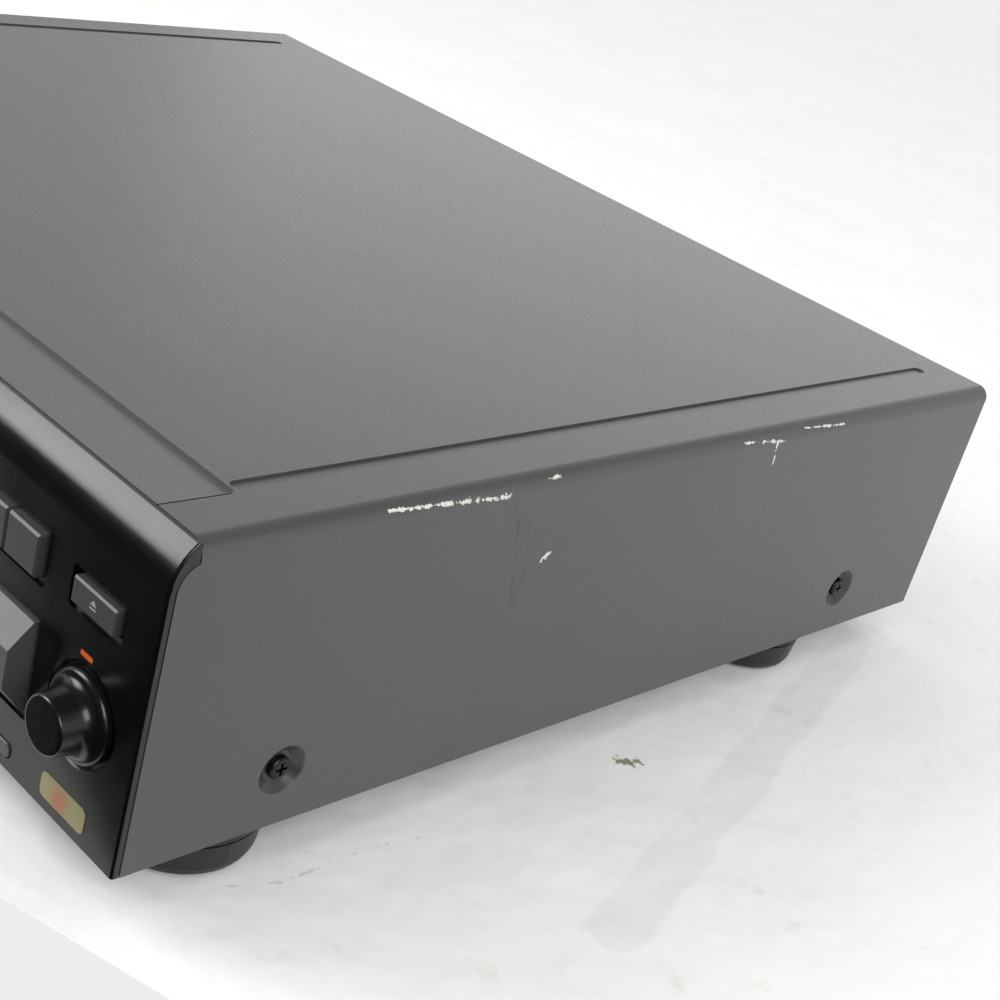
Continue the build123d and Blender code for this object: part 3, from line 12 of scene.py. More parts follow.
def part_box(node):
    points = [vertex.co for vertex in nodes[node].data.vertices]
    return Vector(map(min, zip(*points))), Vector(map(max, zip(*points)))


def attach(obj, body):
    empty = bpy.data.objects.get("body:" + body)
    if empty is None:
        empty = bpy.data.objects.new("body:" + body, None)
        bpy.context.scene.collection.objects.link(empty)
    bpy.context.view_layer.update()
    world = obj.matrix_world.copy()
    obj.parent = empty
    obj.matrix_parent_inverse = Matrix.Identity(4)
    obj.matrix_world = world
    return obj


bl_info = {
    "name": "Disc changer studio",
    "version": (1, 1, 0),
    "blender": (4, 5, 0),
    "location": "3D View > Sidebar > Disc changer",
    "description": "Finishes, printed marks and a plain studio for a five-disc changer",
    "category": "Object",
}

MM = 0.001
NUMBER_REACH = 132.0 * MM  # a well's number, from the middle of the carousel
DISH_MASK = 7.4  # millimetres round a screw's axis that its dish takes up
FLOOR_DROP = 0.5 * MM  # the cloth under the feet, so that they don't share its plane
CLOTH_SIZE = 12.0  # metres

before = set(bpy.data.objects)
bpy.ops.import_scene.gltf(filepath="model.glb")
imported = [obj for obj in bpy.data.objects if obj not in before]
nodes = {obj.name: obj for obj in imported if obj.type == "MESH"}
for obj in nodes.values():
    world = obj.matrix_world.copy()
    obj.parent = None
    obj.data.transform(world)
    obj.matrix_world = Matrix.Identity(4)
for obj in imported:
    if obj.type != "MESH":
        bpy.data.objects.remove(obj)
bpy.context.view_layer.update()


def node_box(name):
    """A node's lowest and highest corners, as vectors."""
    return tuple(Vector(corner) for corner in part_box(name))


# places that the finishes, the marks and the camera are laid out from, read off the frame
cover_low, cover_high = node_box("top_cover")
FACE_Y = node_box("front_bezel")[0].y
RIGHT_X = cover_high.x
CASE_Z = cover_low.z
COVER_Y = cover_low.y
CORNER = Vector((RIGHT_X, COVER_Y, CASE_Z))  # the cover's lower right front corner


# ---------------------------------------------------------------- settings
def colour_setting(name, description, value):
    return StringProperty(name=name, description=description, default=value, maxlen=7)


def length_setting(name, description, value_mm):
    return FloatProperty(
        name=name, description=description, default=value_mm * MM,
        unit="LENGTH", subtype="DISTANCE", precision=5,
    )


class FinishSettings(PropertyGroup):
    cover_paint: colour_setting("Cover paint", "Textured paint on the folded steel cover", "#424343")
    bare_metal: colour_setting("Bare metal", "What shows where the paint is chipped", "#d2d0ca")
    front_gloss: colour_setting("Front", "Gloss moulding of the bezel and the drawer front", "#0b0a0a")
    key_satin: colour_setting("Small keys", "Satin moulding of the small keys", "#3e3d3c")
    wedge_satin: colour_setting("Wedge keys", "Satin moulding of the play, pause and stop keys", "#4c4b4a")
    knob_satin: colour_setting("Knobs", "Satin moulding of the knobs", "#0f0f0f")
    foot_plastic: colour_setting("Feet", "Moulded feet", "#161616")
    tray_plastic: colour_setting("Tray", "Moulded drawer and carousel", "#1e1e20")
    cover_grain: length_setting("Paint grain", "Spacing of the cover paint's texture", 0.75)


class MarkSettings(PropertyGroup):
    label_gold: colour_setting("Label", "Foil of the front label", "#8f8a63")
    label_glow: colour_setting("Label glow", "Warm patch in the middle of the foil", "#a3684b")
    legend_orange: colour_setting("Legend", "Printed bar above the jog knob", "#c2501a")
    symbol_grey: colour_setting("Symbols", "Printed symbols on the keys", "#8f8e8a")
    label_width: length_setting("Label width", "Width of the foil label", 19.4)
    label_height: length_setting("Label height", "Height of the foil label", 7.2)
    label_corner: length_setting("Label corner", "Corner radius of the foil label", 1.8)
    print_thick: length_setting("Print", "Thickness of the printed ink", 0.04)


class StudioSettings(PropertyGroup):
    cloth_colour: colour_setting("Cloth", "Pale cloth on the table", "#e5e5e4")
    background: colour_setting("Background", "Pale wall behind the table", "#f4f3f2")
    lens: FloatProperty(
        name="Lens", description="Focal length on a 36 mm sensor", default=61.56, min=10.0
    )
    camera_place: FloatVectorProperty(
        name="Camera", description="Camera, from the cover's lower right front corner",
        default=(0.2518, -0.2185, 0.2719), subtype="XYZ", unit="LENGTH",
    )
    camera_turn: FloatVectorProperty(
        name="View", description="Azimuth, elevation and roll of the camera in degrees",
        default=(-38.22, 24.37, 16.09),
    )
    key_power: FloatProperty(
        name="Key light", description="Power of the tall light on the left in watts", default=21.0
    )
    back_power: FloatProperty(
        name="Back light", description="Power of the light at the back in watts", default=27.0
    )
    fill_power: FloatProperty(
        name="Fill light", description="Power of the fill on the right in watts", default=17.0
    )
    sky_strength: FloatProperty(
        name="Room light", description="Strength of the room's soft light", default=1.1
    )


# ---------------------------------------------------------------- material helpers
def linear(hex_colour):
    """The linear colour of an sRGB hex value."""
    channels = [int(hex_colour[k : k + 2], 16) / 255 for k in (1, 3, 5)]
    turned = [c / 12.92 if c <= 0.04045 else ((c + 0.055) / 1.055) ** 2.4 for c in channels]
    return (*turned, 1.0)


def shades(hex_colour, spread):
    """A darker and a lighter shade of a colour."""
    base = linear(hex_colour)
    return [(*(min(1.0, c * (1 + k * spread)) for c in base[:3]), 1.0) for k in (-1, 1)]


def put(tree, kind, sockets=None, **settings):
    """Adds a node, fills or links its inputs by name or number, and returns its first live output."""
    node = tree.nodes.new(kind)
    for name, value in settings.items():
        setattr(node, name, value)
    for key, value in (sockets or {}).items():
        by_name = (s for s in node.inputs if s.name == key and s.enabled)
        socket = node.inputs[key] if isinstance(key, int) else next(by_name)
        if isinstance(value, bpy.types.NodeSocket):
            tree.links.new(value, socket)
        else:
            socket.default_value = value
    return next((s for s in node.outputs if s.enabled), node)


def surface(name, colour, roughness, metallic=0.0, **sockets):
    """A material of one shader, with its tree, shader and object coordinates."""
    material = bpy.data.materials.new(name)
    material.use_nodes = True
    tree = material.node_tree
    tree.nodes.clear()
    values = {"Base Color": linear(colour), "Roughness": roughness, "Metallic": metallic}
    shader = put(tree, "ShaderNodeBsdfPrincipled", {**values, **sockets})
    put(tree, "ShaderNodeOutputMaterial", {"Surface": shader})
    coords = put(tree, "ShaderNodeTexCoord").node.outputs["Object"]
    return material, tree, shader.node, coords


def drive(tree, shader, **links):
    """Links outputs to the shader's colour, roughness and normal."""
    for name, value in links.items():
        tree.links.new(value, shader.inputs[name.replace("_", " ")])


def grained(name, colour, roughness, grain_mm, depth_mm, spread=0.12, metallic=0.0, **sockets):
    """A moulded or painted finish: a fine grain, faint cloudy colour and uneven gloss."""
    material, tree, shader, coords = surface(name, colour, roughness, metallic, **sockets)
    fine = put(tree, "ShaderNodeTexNoise", {"Vector": coords, "Scale": 1000 / grain_mm, "Detail": 2.0})
    cloud = put(tree, "ShaderNodeTexNoise", {"Vector": coords, "Scale": 1000 / 35.0, "Detail": 3.0})
    dark, light = shades(colour, spread)
    drive(
        tree, shader,
        Base_Color=put(tree, "ShaderNodeMix", {"Factor": cloud, "A": dark, "B": light}, data_type="RGBA"),
        Roughness=put(
            tree, "ShaderNodeMapRange",
            {"Value": fine, "From Min": 0.3, "From Max": 0.7,
             "To Min": roughness * 0.9, "To Max": roughness * 1.1},
        ),
        Normal=put(tree, "ShaderNodeBump", {"Height": fine, "Distance": depth_mm * MM}),
    )
    return material


def drawn(name, colour, roughness, along, line_mm=0.25, spread=0.15):
    """A rolled, drawn or ground metal: streaks that run along one axis."""
    material, tree, shader, coords = surface(name, colour, roughness, 1.0)
    scale = [0.03 if axis == along else 1.0 for axis in "XYZ"]
    drawn_out = put(tree, "ShaderNodeMapping", {"Vector": coords, "Scale": scale})
    streak = put(
        tree, "ShaderNodeTexNoise", {"Vector": drawn_out, "Scale": 1000 / line_mm, "Detail": 3.0}
    )
    dark, light = shades(colour, spread)
    drive(
        tree, shader,
        Base_Color=put(tree, "ShaderNodeMix", {"Factor": streak, "A": dark, "B": light}, data_type="RGBA"),
        Roughness=put(
            tree, "ShaderNodeMapRange",
            {"Value": streak, "From Min": 0.3, "From Max": 0.7,
             "To Min": roughness * 0.75, "To Max": roughness * 1.3},
        ),
        Normal=put(tree, "ShaderNodeBump", {"Height": streak, "Distance": 0.01 * MM}),
    )
    return material


def dress(material, *names):
    """Gives CAD nodes a material."""
    for name in names:
        node = nodes[name]
        if not node.material_slots:
            node.data.materials.append(material)
        for slot in node.material_slots:
            slot.material = material


# ---------------------------------------------------------------- marks that wear has left
def streak(tree, coords, wobble, start, end, width_mm, soft_mm=0.12):
    """1 near the line between two points given in millimetres from the cover's corner, with a ragged edge."""
    a, b = CORNER + Vector(start) * MM, CORNER + Vector(end) * MM
    along = b - a
    from_a = put(tree, "ShaderNodeVectorMath", {0: coords, 1: a}, operation="SUBTRACT")
    share = put(
        tree, "ShaderNodeVectorMath", {0: from_a, 1: along / along.length_squared}, operation="DOT_PRODUCT"
    )
    share = put(tree, "ShaderNodeMapRange", {"Value": share})
    nearest = put(tree, "ShaderNodeVectorMath", {0: along, "Scale": share}, operation="SCALE")
    apart = put(tree, "ShaderNodeVectorMath", {0: from_a, 1: nearest}, operation="DISTANCE")
    reach = put(tree, "ShaderNodeMath", {0: wobble, 1: width_mm * MM}, operation="MULTIPLY")
    inside = put(tree, "ShaderNodeMath", {0: reach, 1: apart}, operation="SUBTRACT")
    return put(tree, "ShaderNodeMapRange", {"Value": inside, "From Max": soft_mm * MM})


def strongest(tree, masks):
    """The strongest of several masks."""
    top = masks[0]
    for mask in masks[1:]:
        top = put(tree, "ShaderNodeMath", {0: top, 1: mask}, operation="MAXIMUM")
    return top


# where the fold and the side are knocked: start, end and half width, in millimetres from the corner
CHIPS = (
    ((-0.9, 61.9, 90.3), (-0.5, 80.0, 89.5), 0.8),
    ((-0.5, 80.0, 89.5), (0.0, 105.0, 87.9), 1.3),
    ((-1.1, 120.1, 90.4), (-1.2, 125.1, 90.5), 0.9),
    ((-0.6, 210.9, 89.7), (0.0, 232.9, 87.9), 0.9),
    ((0.0, 229.1, 87.6), (0.0, 230.9, 78.4), 0.8),
    ((-1.1, 244.3, 90.5), (-0.4, 267.7, 89.4), 0.7),
    ((0.0, 126.5, 64.2), (0.0, 129.0, 66.3), 1.3),
)
SCUFFS = (
    ((0.0, 106.6, 86.2), (0.0, 111.6, 79.5), 0.8),
    ((0.0, 111.6, 79.5), (0.0, 119.0, 50.8), 1.1),
    ((0.0, 115.1, 84.8), (0.0, 120.1, 63.4), 0.9),
    ((0.0, 120.1, 63.4), (0.0, 119.8, 51.5), 1.2),
    ((0.0, 21.0, 79.4), (0.0, 24.8, 83.2), 0.8),
)


# faint lines that something has dragged over the cloth
SCRIBBLES = (
    ((-1.0, 28.0, -14.0), (7.0, 48.0, -14.0)),
    ((7.0, 52.0, -14.0), (7.0, 81.0, -14.0)),
    ((7.0, 81.0, -14.0), (10.0, 96.0, -14.0)),
)

# the axes of the dishes, from one side of the cover through to the other
DISHES = tuple((((cover_low.x - RIGHT_X) / MM, y, 17.5), (0.0, y, 17.5)) for y in (46.0, 308.0))


def cover_paint(settings):
    """Baked textured paint on steel: a fine pebbled satin film that spreads highlights, chipped to
    bare metal where the fold has been knocked."""
    material, tree, shader, coords = surface(
        "baked textured paint on steel", settings.cover_paint, 0.36, **{"Specular IOR Level": 0.75}
    )
    # the real grain is near 0.3 mm; it is drawn wider so that it shows at the camera's distance
    pebble = put(
        tree, "ShaderNodeTexNoise",
        {"Vector": coords, "Scale": 1 / settings.cover_grain, "Detail": 2.0, "Roughness": 0.55},
    )
    cloud = put(tree, "ShaderNodeTexNoise", {"Vector": coords, "Scale": 1000 / 60.0, "Detail": 3.0})
    speck = put(tree, "ShaderNodeTexNoise", {"Vector": coords, "Scale": 1000 / 1.3, "Detail": 1.0})
    dark, light = shades(settings.cover_paint, 0.08)
    base = put(tree, "ShaderNodeMix", {"Factor": cloud, "A": dark, "B": light}, data_type="RGBA")
    flecks = put(
        tree, "ShaderNodeMapRange", {"Value": speck, "From Min": 0.73, "From Max": 0.80, "To Max": 0.3}
    )
    base = put(
        tree, "ShaderNodeMix", {"Factor": flecks, "A": base, "B": linear("#74736f")}, data_type="RGBA"
    )
    torn = put(
        tree, "ShaderNodeTexNoise",
        {"Vector": coords, "Scale": 1000 / 2.4, "Detail": 5.0, "Roughness": 0.75},
    )
    torn = put(tree, "ShaderNodeMapRange", {"Value": torn, "From Min": 0.42, "From Max": 0.64})
    rubbed = put(tree, "ShaderNodeTexNoise", {"Vector": coords, "Scale": 1000 / 6.0, "Detail": 2.0})
    rubbed = put(
        tree, "ShaderNodeMapRange", {"Value": rubbed, "From Min": 0.35, "From Max": 0.65, "To Min": 0.35}
    )
    scuff = strongest(tree, [streak(tree, coords, rubbed, *mark, soft_mm=0.9) for mark in SCUFFS])
    scuff = put(tree, "ShaderNodeMath", {0: scuff, 1: 0.55}, operation="MULTIPLY")
    base = put(
        tree, "ShaderNodeMix", {"Factor": scuff, "A": base, "B": linear("#222222")}, data_type="RGBA"
    )
    # painted shade: the screws' dishes are darkened in the paint's colour, as if their recesses fell in shade
    dish_shade = strongest(tree, [streak(tree, coords, 1.0, *mark, DISH_MASK, soft_mm=0.3) for mark in DISHES])
    base = put(
        tree, "ShaderNodeMix", {"Factor": dish_shade, "A": base, "B": linear("#232323")}, data_type="RGBA"
    )
    chip = strongest(tree, [streak(tree, coords, torn, *mark) for mark in CHIPS])
    base = put(
        tree, "ShaderNodeMix", {"Factor": chip, "A": base, "B": linear(settings.bare_metal)},
        data_type="RGBA",
    )
    gloss = {"Value": pebble, "From Min": 0.3, "From Max": 0.7, "To Min": 0.32, "To Max": 0.42}
    film = put(tree, "ShaderNodeMath", {0: 1.0, 1: chip}, operation="SUBTRACT")
    grain = put(tree, "ShaderNodeBump", {"Height": pebble, "Distance": 0.05 * MM})
    drive(
        tree, shader,
        Base_Color=base,
        Roughness=put(tree, "ShaderNodeMapRange", gloss),
        Normal=put(tree, "ShaderNodeBump", {"Height": film, "Distance": 0.08 * MM, "Normal": grain}),
    )
    return material


def plated_sockets():
    """Nickel plated jacks in a moulded block: bright past the rear panel, with a red and a white ring."""
    material, tree, shader, coords = surface("moulded block with plated jacks", "#161616", 0.4)
    panel_y = node_box("rear_panel")[1].y
    low, high = node_box("rear_sockets")
    # the jacks stand on the block's right half, one above the other
    jack_x = high.x - 9.0 * MM
    middle_z = (low.z + high.z) / 2
    place = put(tree, "ShaderNodeSeparateXYZ", {"Vector": coords}).node.outputs
    past = put(tree, "ShaderNodeMath", {0: place["Y"], 1: panel_y}, operation="GREATER_THAN")
    near = put(tree, "ShaderNodeMath", {0: place["X"], 1: jack_x - 6.0 * MM}, operation="GREATER_THAN")
    metal = put(tree, "ShaderNodeMath", {0: past, 1: near}, operation="MULTIPLY")
    upper = put(tree, "ShaderNodeMath", {0: place["Z"], 1: middle_z}, operation="GREATER_THAN")
    ring = put(
        tree, "ShaderNodeMix", {"Factor": upper, "A": linear("#a3231c"), "B": linear("#d8d6d0")},
        data_type="RGBA",
    )
    inner = put(tree, "ShaderNodeMath", {0: place["Y"], 1: panel_y - 1.3 * MM}, operation="GREATER_THAN")
    inner = put(tree, "ShaderNodeMath", {0: inner, 1: near}, operation="MULTIPLY")
    wear = put(tree, "ShaderNodeTexNoise", {"Vector": coords, "Scale": 1000 / 1.5, "Detail": 2.0})
    base = put(
        tree, "ShaderNodeMix", {"Factor": inner, "A": linear("#161616"), "B": ring}, data_type="RGBA"
    )
    base = put(
        tree, "ShaderNodeMix", {"Factor": metal, "A": base, "B": linear("#bdb9ae")}, data_type="RGBA"
    )
    drive(
        tree, shader,
        Base_Color=base,
        Metallic=metal,
        Roughness=put(tree, "ShaderNodeMapRange", {"Value": wear, "To Min": 0.25, "To Max": 0.45}),
    )
    return material


def wound_transformer():
    """Varnished steel laminations round a taped winding, which stands out at both ends."""
    material, tree, shader, coords = surface("varnished laminations and tape", "#4c4640", 0.45, 0.0)
    low, high = node_box("power_transformer")
    place = put(tree, "ShaderNodeSeparateXYZ", {"Vector": coords}).node.outputs
    out = put(tree, "ShaderNodeMath", {0: place["Y"], 1: (low.y + high.y) / 2}, operation="SUBTRACT")
    out = put(tree, "ShaderNodeMath", {0: out}, operation="ABSOLUTE")
    winding = put(tree, "ShaderNodeMath", {0: out, 1: 10.2 * MM}, operation="GREATER_THAN")
    # 0.5 mm laminations, one beside the other along Y
    sheets = put(
        tree, "ShaderNodeTexWave", {"Vector": coords, "Scale": 1000 / 0.5 / 10}, bands_direction="Y"
    )
    steel = put(
        tree, "ShaderNodeMix", {"Factor": sheets, "A": linear("#37322d"), "B": linear("#5c554d")},
        data_type="RGBA",
    )
    drive(
        tree, shader,
        Base_Color=put(
            tree, "ShaderNodeMix", {"Factor": winding, "A": steel, "B": linear("#b8923a")}, data_type="RGBA"
        ),
        Normal=put(tree, "ShaderNodeBump", {"Height": sheets, "Distance": 0.05 * MM}),
    )
    return material


# ---------------------------------------------------------------- modelling helpers
def only(obj=None):
    """Leaves just one object selected and active."""
    if bpy.context.object and bpy.context.object.mode != "OBJECT":
        bpy.ops.object.mode_set(mode="OBJECT")
    bpy.ops.object.select_all(action="DESELECT")
    if obj:
        obj.select_set(True)
        bpy.context.view_layer.objects.active = obj


def settle(obj, name, material, body):
    """Names a finished piece, puts its place in its mesh and hangs it on its body."""
    only(obj)
    if obj.type != "MESH":
        bpy.ops.object.convert(target="MESH")
        obj = bpy.context.object
    bpy.ops.object.transform_apply(location=True, rotation=True, scale=True)
    bpy.ops.object.mode_set(mode="EDIT")
    bpy.ops.mesh.select_all(action="SELECT")
    bpy.ops.mesh.remove_doubles(threshold=1e-6)
    bpy.ops.mesh.normals_make_consistent(inside=False)
    bpy.ops.object.mode_set(mode="OBJECT")
    obj.name = name
    obj.data.name = name
    obj.data.materials.clear()
    obj.data.materials.append(material)
    only()
    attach(obj, body)
    return obj


def front_shape(centre, width, thick, height, corner, sides=4, turn=45.0):
    """A thin plate that faces the front, with as many sides as asked and rounded corners."""
    only()
    facing = (math.pi / 2, math.radians(turn), 0)
    bpy.ops.mesh.primitive_cylinder_add(
        vertices=sides, radius=1.0, depth=1.0, location=centre, rotation=facing
    )
    plate = bpy.context.object
    bpy.ops.object.transform_apply(location=False, rotation=True, scale=False)
    plate.scale = (width / plate.dimensions.x, thick / plate.dimensions.y, height / plate.dimensions.z)
    bpy.ops.object.transform_apply(location=False, rotation=False, scale=True)
    bpy.ops.object.mode_set(mode="EDIT")
    bpy.ops.mesh.select_mode(type="EDGE")
    bpy.ops.mesh.select_all(action="DESELECT")
    mesh = bmesh.from_edit_mesh(plate.data)
    for edge in mesh.edges:
        first, second = (v.co for v in edge.verts)
        edge.select_set(abs(first.y - second.y) > thick * 0.5)
    bmesh.update_edit_mesh(plate.data)
    bpy.ops.mesh.bevel(offset=corner, segments=6, affect="EDGES")
    bpy.ops.object.mode_set(mode="OBJECT")
    return plate


def front_edge_bevel(plate, offset):
    """Softens the rim of a plate's front face."""
    only(plate)
    bpy.ops.object.mode_set(mode="EDIT")
    bpy.ops.mesh.select_all(action="DESELECT")
    mesh = bmesh.from_edit_mesh(plate.data)
    front = min(v.co.y for v in mesh.verts)
    for edge in mesh.edges:
        edge.select_set(all(v.co.y < front + 1e-6 for v in edge.verts))
    bmesh.update_edit_mesh(plate.data)
    bpy.ops.mesh.bevel(offset=offset, segments=2, affect="EDGES")
    bpy.ops.object.mode_set(mode="OBJECT")


def joined(objects):
    """Joins several meshes into the first."""
    only(objects[0])
    for obj in objects[1:]:
        obj.select_set(True)
    bpy.ops.object.join()
    return bpy.context.object


# ---------------------------------------------------------------- operators
class DressCover(Operator):
    """Paint the folded cover and the rear panel, and plate the screws"""

    bl_idname = "changer.dress_cover"
    bl_label = "Cover"

    def execute(self, context):
        settings = context.scene.changer_finish
        dress(cover_paint(settings), "top_cover")
        # powder coated steel: an even satin film with a faint orange peel
        dress(grained("powder coated steel", "#1a1a1a", 0.5, 1.2, 0.04), "rear_panel")
        # blackened steel screws: dark, with a little shine on their rims
        dress(drawn("blackened rolled steel", "#3a3936", 0.36, "Z", 0.4), "cover_screws")
        return {"FINISHED"}


class DressFront(Operator):
    """Give the bezel, the drawer front and the display window their gloss"""

    bl_idname = "changer.dress_front"
    bl_label = "Front"

    def execute(self, context):
        settings = context.scene.changer_finish
        # polished mould ABS: near black, a clear gloss with very faint ripple
        gloss = grained(
            "polished moulded styrene", settings.front_gloss, 0.24, 18.0, 0.012, 0.2
        )
        dress(gloss, "front_bezel", "drawer_front")
        # smoked acrylic: nearly opaque, with a hazy film of dust
        window, tree, shader, coords = surface(
            "smoked acrylic", "#0a0706", 0.06, **{"Transmission Weight": 0.35, "IOR": 1.49}
        )
        haze = put(tree, "ShaderNodeTexNoise", {"Vector": coords, "Scale": 1000 / 25.0})
        drive(
            tree, shader,
            Roughness=put(tree, "ShaderNodeMapRange", {"Value": haze, "To Min": 0.04, "To Max": 0.11}),
        )
        dress(window, "display_window")
        # blown glass over a fine grid, which shows as faint lines
        tube, tree, shader, coords = surface(
            "blown glass tube", "#4a5654", 0.08, **{"Transmission Weight": 0.5}
        )
        grid = put(
            tree, "ShaderNodeTexWave", {"Vector": coords, "Scale": 1000 / 2.0 / 10}, bands_direction="X"
        )
        lines = {"Factor": grid, "A": linear("#2c3231"), "B": linear("#5d6b68")}
        drive(tree, shader, Base_Color=put(tree, "ShaderNodeMix", lines, data_type="RGBA"))
        dress(tube, "display_tube")
        return {"FINISHED"}


class DressKeys(Operator):
    """Give the keys and knobs their satin plastic"""

    bl_idname = "changer.dress_keys"
    bl_label = "Keys and knobs"

    def execute(self, context):
        settings = context.scene.changer_finish
        # moulded ABS: a fine spark grain that softens the gloss
        small = grained("spark grained key plastic", settings.key_satin, 0.38, 0.5, 0.015)
        wedge = grained("fine grained key plastic", settings.wedge_satin, 0.42, 0.5, 0.012)
        knob = grained("satin turned plastic", settings.knob_satin, 0.24, 1.5, 0.002)
        wedges = ("play_key", "pause_key", "stop_key")
        keys = [name for name in nodes if "_key" in name and name != "key_switches"] + ["power_button"]
        dress(small, *[name for name in keys if name not in wedges])
        dress(wedge, *wedges)
        dress(knob, "jog_knob", "level_knob")
        return {"FINISHED"}


class DressFeet(Operator):
    """Give the feet and their pads their grain"""

    bl_idname = "changer.dress_feet"
    bl_label = "Feet"

    def execute(self, context):
        settings = context.scene.changer_finish
        dress(grained("moulded polypropylene", settings.foot_plastic, 0.45, 0.9, 0.03), "feet")
        dress(grained("die cut rubber", "#202020", 0.8, 0.6, 0.06), "foot_pads")
        return {"FINISHED"}


class DressChassis(Operator):
    """Finish the chassis, the mechanism deck and the bridge"""

    bl_idname = "changer.dress_chassis"
    bl_label = "Chassis"

    def execute(self, context):
        # zinc plated sheet: pale grey with the rolling's long streaks
        dress(drawn("zinc plated rolled sheet", "#a9aaa6", 0.36, "Y"), "chassis_base", "clamp_bridge")
        dress(
            grained("glass filled polycarbonate", "#1b1b1c", 0.5, 1.4, 0.03), "mechanism_deck",
            "optical_deck",
        )
        dress(
            drawn("centreless ground steel", "#c4c4c2", 0.2, "Y", 0.15), "guide_rods", "jog_shaft",
            "table_axle",
        )
        dress(
            drawn("deep drawn steel can", "#a3a29c", 0.3, "Z"), "unit_motors", "loading_motor",
            "table_motor",
        )
        dress(wound_transformer(), "power_transformer")
        return {"FINISHED"}


class DressMechanism(Operator):
    """Finish the drawer, the carousel, the gears and the belts"""

    bl_idname = "changer.dress_mechanism"
    bl_label = "Mechanism"

    def execute(self, context):
        settings = context.scene.changer_finish
        # spark eroded moulding: matt, with an even pebble that hides scratches from discs
        tray = grained("spark eroded polystyrene", settings.tray_plastic, 0.55, 0.8, 0.04)
        dress(tray, "disc_drawer", "carousel_table", "disc_dividers")
        gears = ("loading_drive_gear", "loading_pulley_gear", "loading_motor_pulley", "table_drive_gear",
                 "table_motor_pulley", "sled_gear", "sled_pinion")
        dress(grained("moulded acetal", "#dcdad2", 0.35, 2.5, 0.01, 0.05), *gears)
        dress(grained("ground belt rubber", "#1a1a1a", 0.75, 0.5, 0.05), "loading_belt", "table_belt")
        dress(grained("moulded nylon", "#161616", 0.42, 0.9, 0.02), "clamp_puck", "disc_platter")
        dress(grained("die cast zinc", "#8f9092", 0.4, 1.5, 0.03, 0.1, 1.0), "pickup_sled")
        # coated glass: clear, with a faint blue to violet sheen
        lens, tree, shader, coords = surface(
            "coated glass lens", "#b8c8f0", 0.03, **{"Transmission Weight": 0.8}
        )
        sheen = put(tree, "ShaderNodeTexNoise", {"Vector": coords, "Scale": 1000 / 3.0, "Detail": 1.0})
        tints = {"Factor": sheen, "A": linear("#a8b8f0"), "B": linear("#c8b8f0")}
        drive(tree, shader, Base_Color=put(tree, "ShaderNodeMix", tints, data_type="RGBA"))
        dress(lens, "objective_lens")
        return {"FINISHED"}


class DressElectronics(Operator):
    """Finish the boards, their parts and the sockets"""

    bl_idname = "changer.dress_electronics"
    bl_label = "Electronics"

    def execute(self, context):
        dress(grained("glass fibre laminate", "#2c5a34", 0.4, 2.0, 0.02, 0.2), "main_board")
        dress(grained("paper laminate", "#9a7340", 0.5, 1.2, 0.02, 0.2), "front_board")
        dress(grained("sleeved components", "#23242c", 0.35, 1.5, 0.02, 0.4), "board_parts")
        dress(grained("moulded phenolic", "#161616", 0.4, 0.9, 0.02), "key_switches", "front_controls")
        dress(plated_sockets(), "rear_sockets")
        dress(grained("moulded nylon gland", "#141414", 0.5, 0.9, 0.02), "cord_bushing")
        return {"FINISHED"}


class AddLabel(Operator):
    """Add the blank foil label and the printed bar beside the jog knob"""

    bl_idname = "changer.add_label"
    bl_label = "Front label"

    def execute(self, context):
        marks = context.scene.changer_marks
        # foil laminated on card: a soft metallic sheen, olive with a warm patch in the middle
        foil, tree, shader, coords = surface("embossed foil", marks.label_gold, 0.36, 0.35)
        thick = 0.3 * MM
        centre = Vector((RIGHT_X - 23.4 * MM, FACE_Y - thick / 2, CASE_Z + 7.1 * MM))
        apart = put(
            tree, "ShaderNodeVectorMath", {0: coords, 1: centre - Vector((1.5, 0, 1.0)) * MM},
            operation="DISTANCE",
        )
        uneven = put(tree, "ShaderNodeTexNoise", {"Vector": coords, "Scale": 1000 / 7.0, "Detail": 1.0})
        apart = put(tree, "ShaderNodeMath", {0: uneven, 1: 0.007, 2: apart}, operation="MULTIPLY_ADD")
        warm = put(
            tree, "ShaderNodeMapRange",
            {"Value": apart, "From Min": 5.0 * MM, "From Max": 8.5 * MM, "To Min": 0.9, "To Max": 0.0},
        )
        tints = {"Factor": warm, "A": linear(marks.label_gold), "B": linear(marks.label_glow)}
        emboss = put(tree, "ShaderNodeTexNoise", {"Vector": coords, "Scale": 1000 / 0.5, "Detail": 2.0})
        drive(
            tree, shader,
            Base_Color=put(tree, "ShaderNodeMix", tints, data_type="RGBA"),
            Normal=put(tree, "ShaderNodeBump", {"Height": emboss, "Distance": 0.02 * MM}),
        )
        label = front_shape(centre, marks.label_width, thick, marks.label_height, marks.label_corner)
        front_edge_bevel(label, 0.08 * MM)
        settle(label, "foil_label", foil, "player")
        # screen printed ink: flat, with a slightly dry edge
        ink = grained("screen printed orange ink", marks.legend_orange, 0.5, 0.6, 0.01)
        centre = (RIGHT_X - 24.4 * MM, FACE_Y - marks.print_thick / 2, CASE_Z + 49.2 * MM)
        bar = front_shape(centre, 5.0 * MM, marks.print_thick, 1.4 * MM, 0.4 * MM)
        settle(bar, "legend_bar", ink, "player")
        return {"FINISHED"}


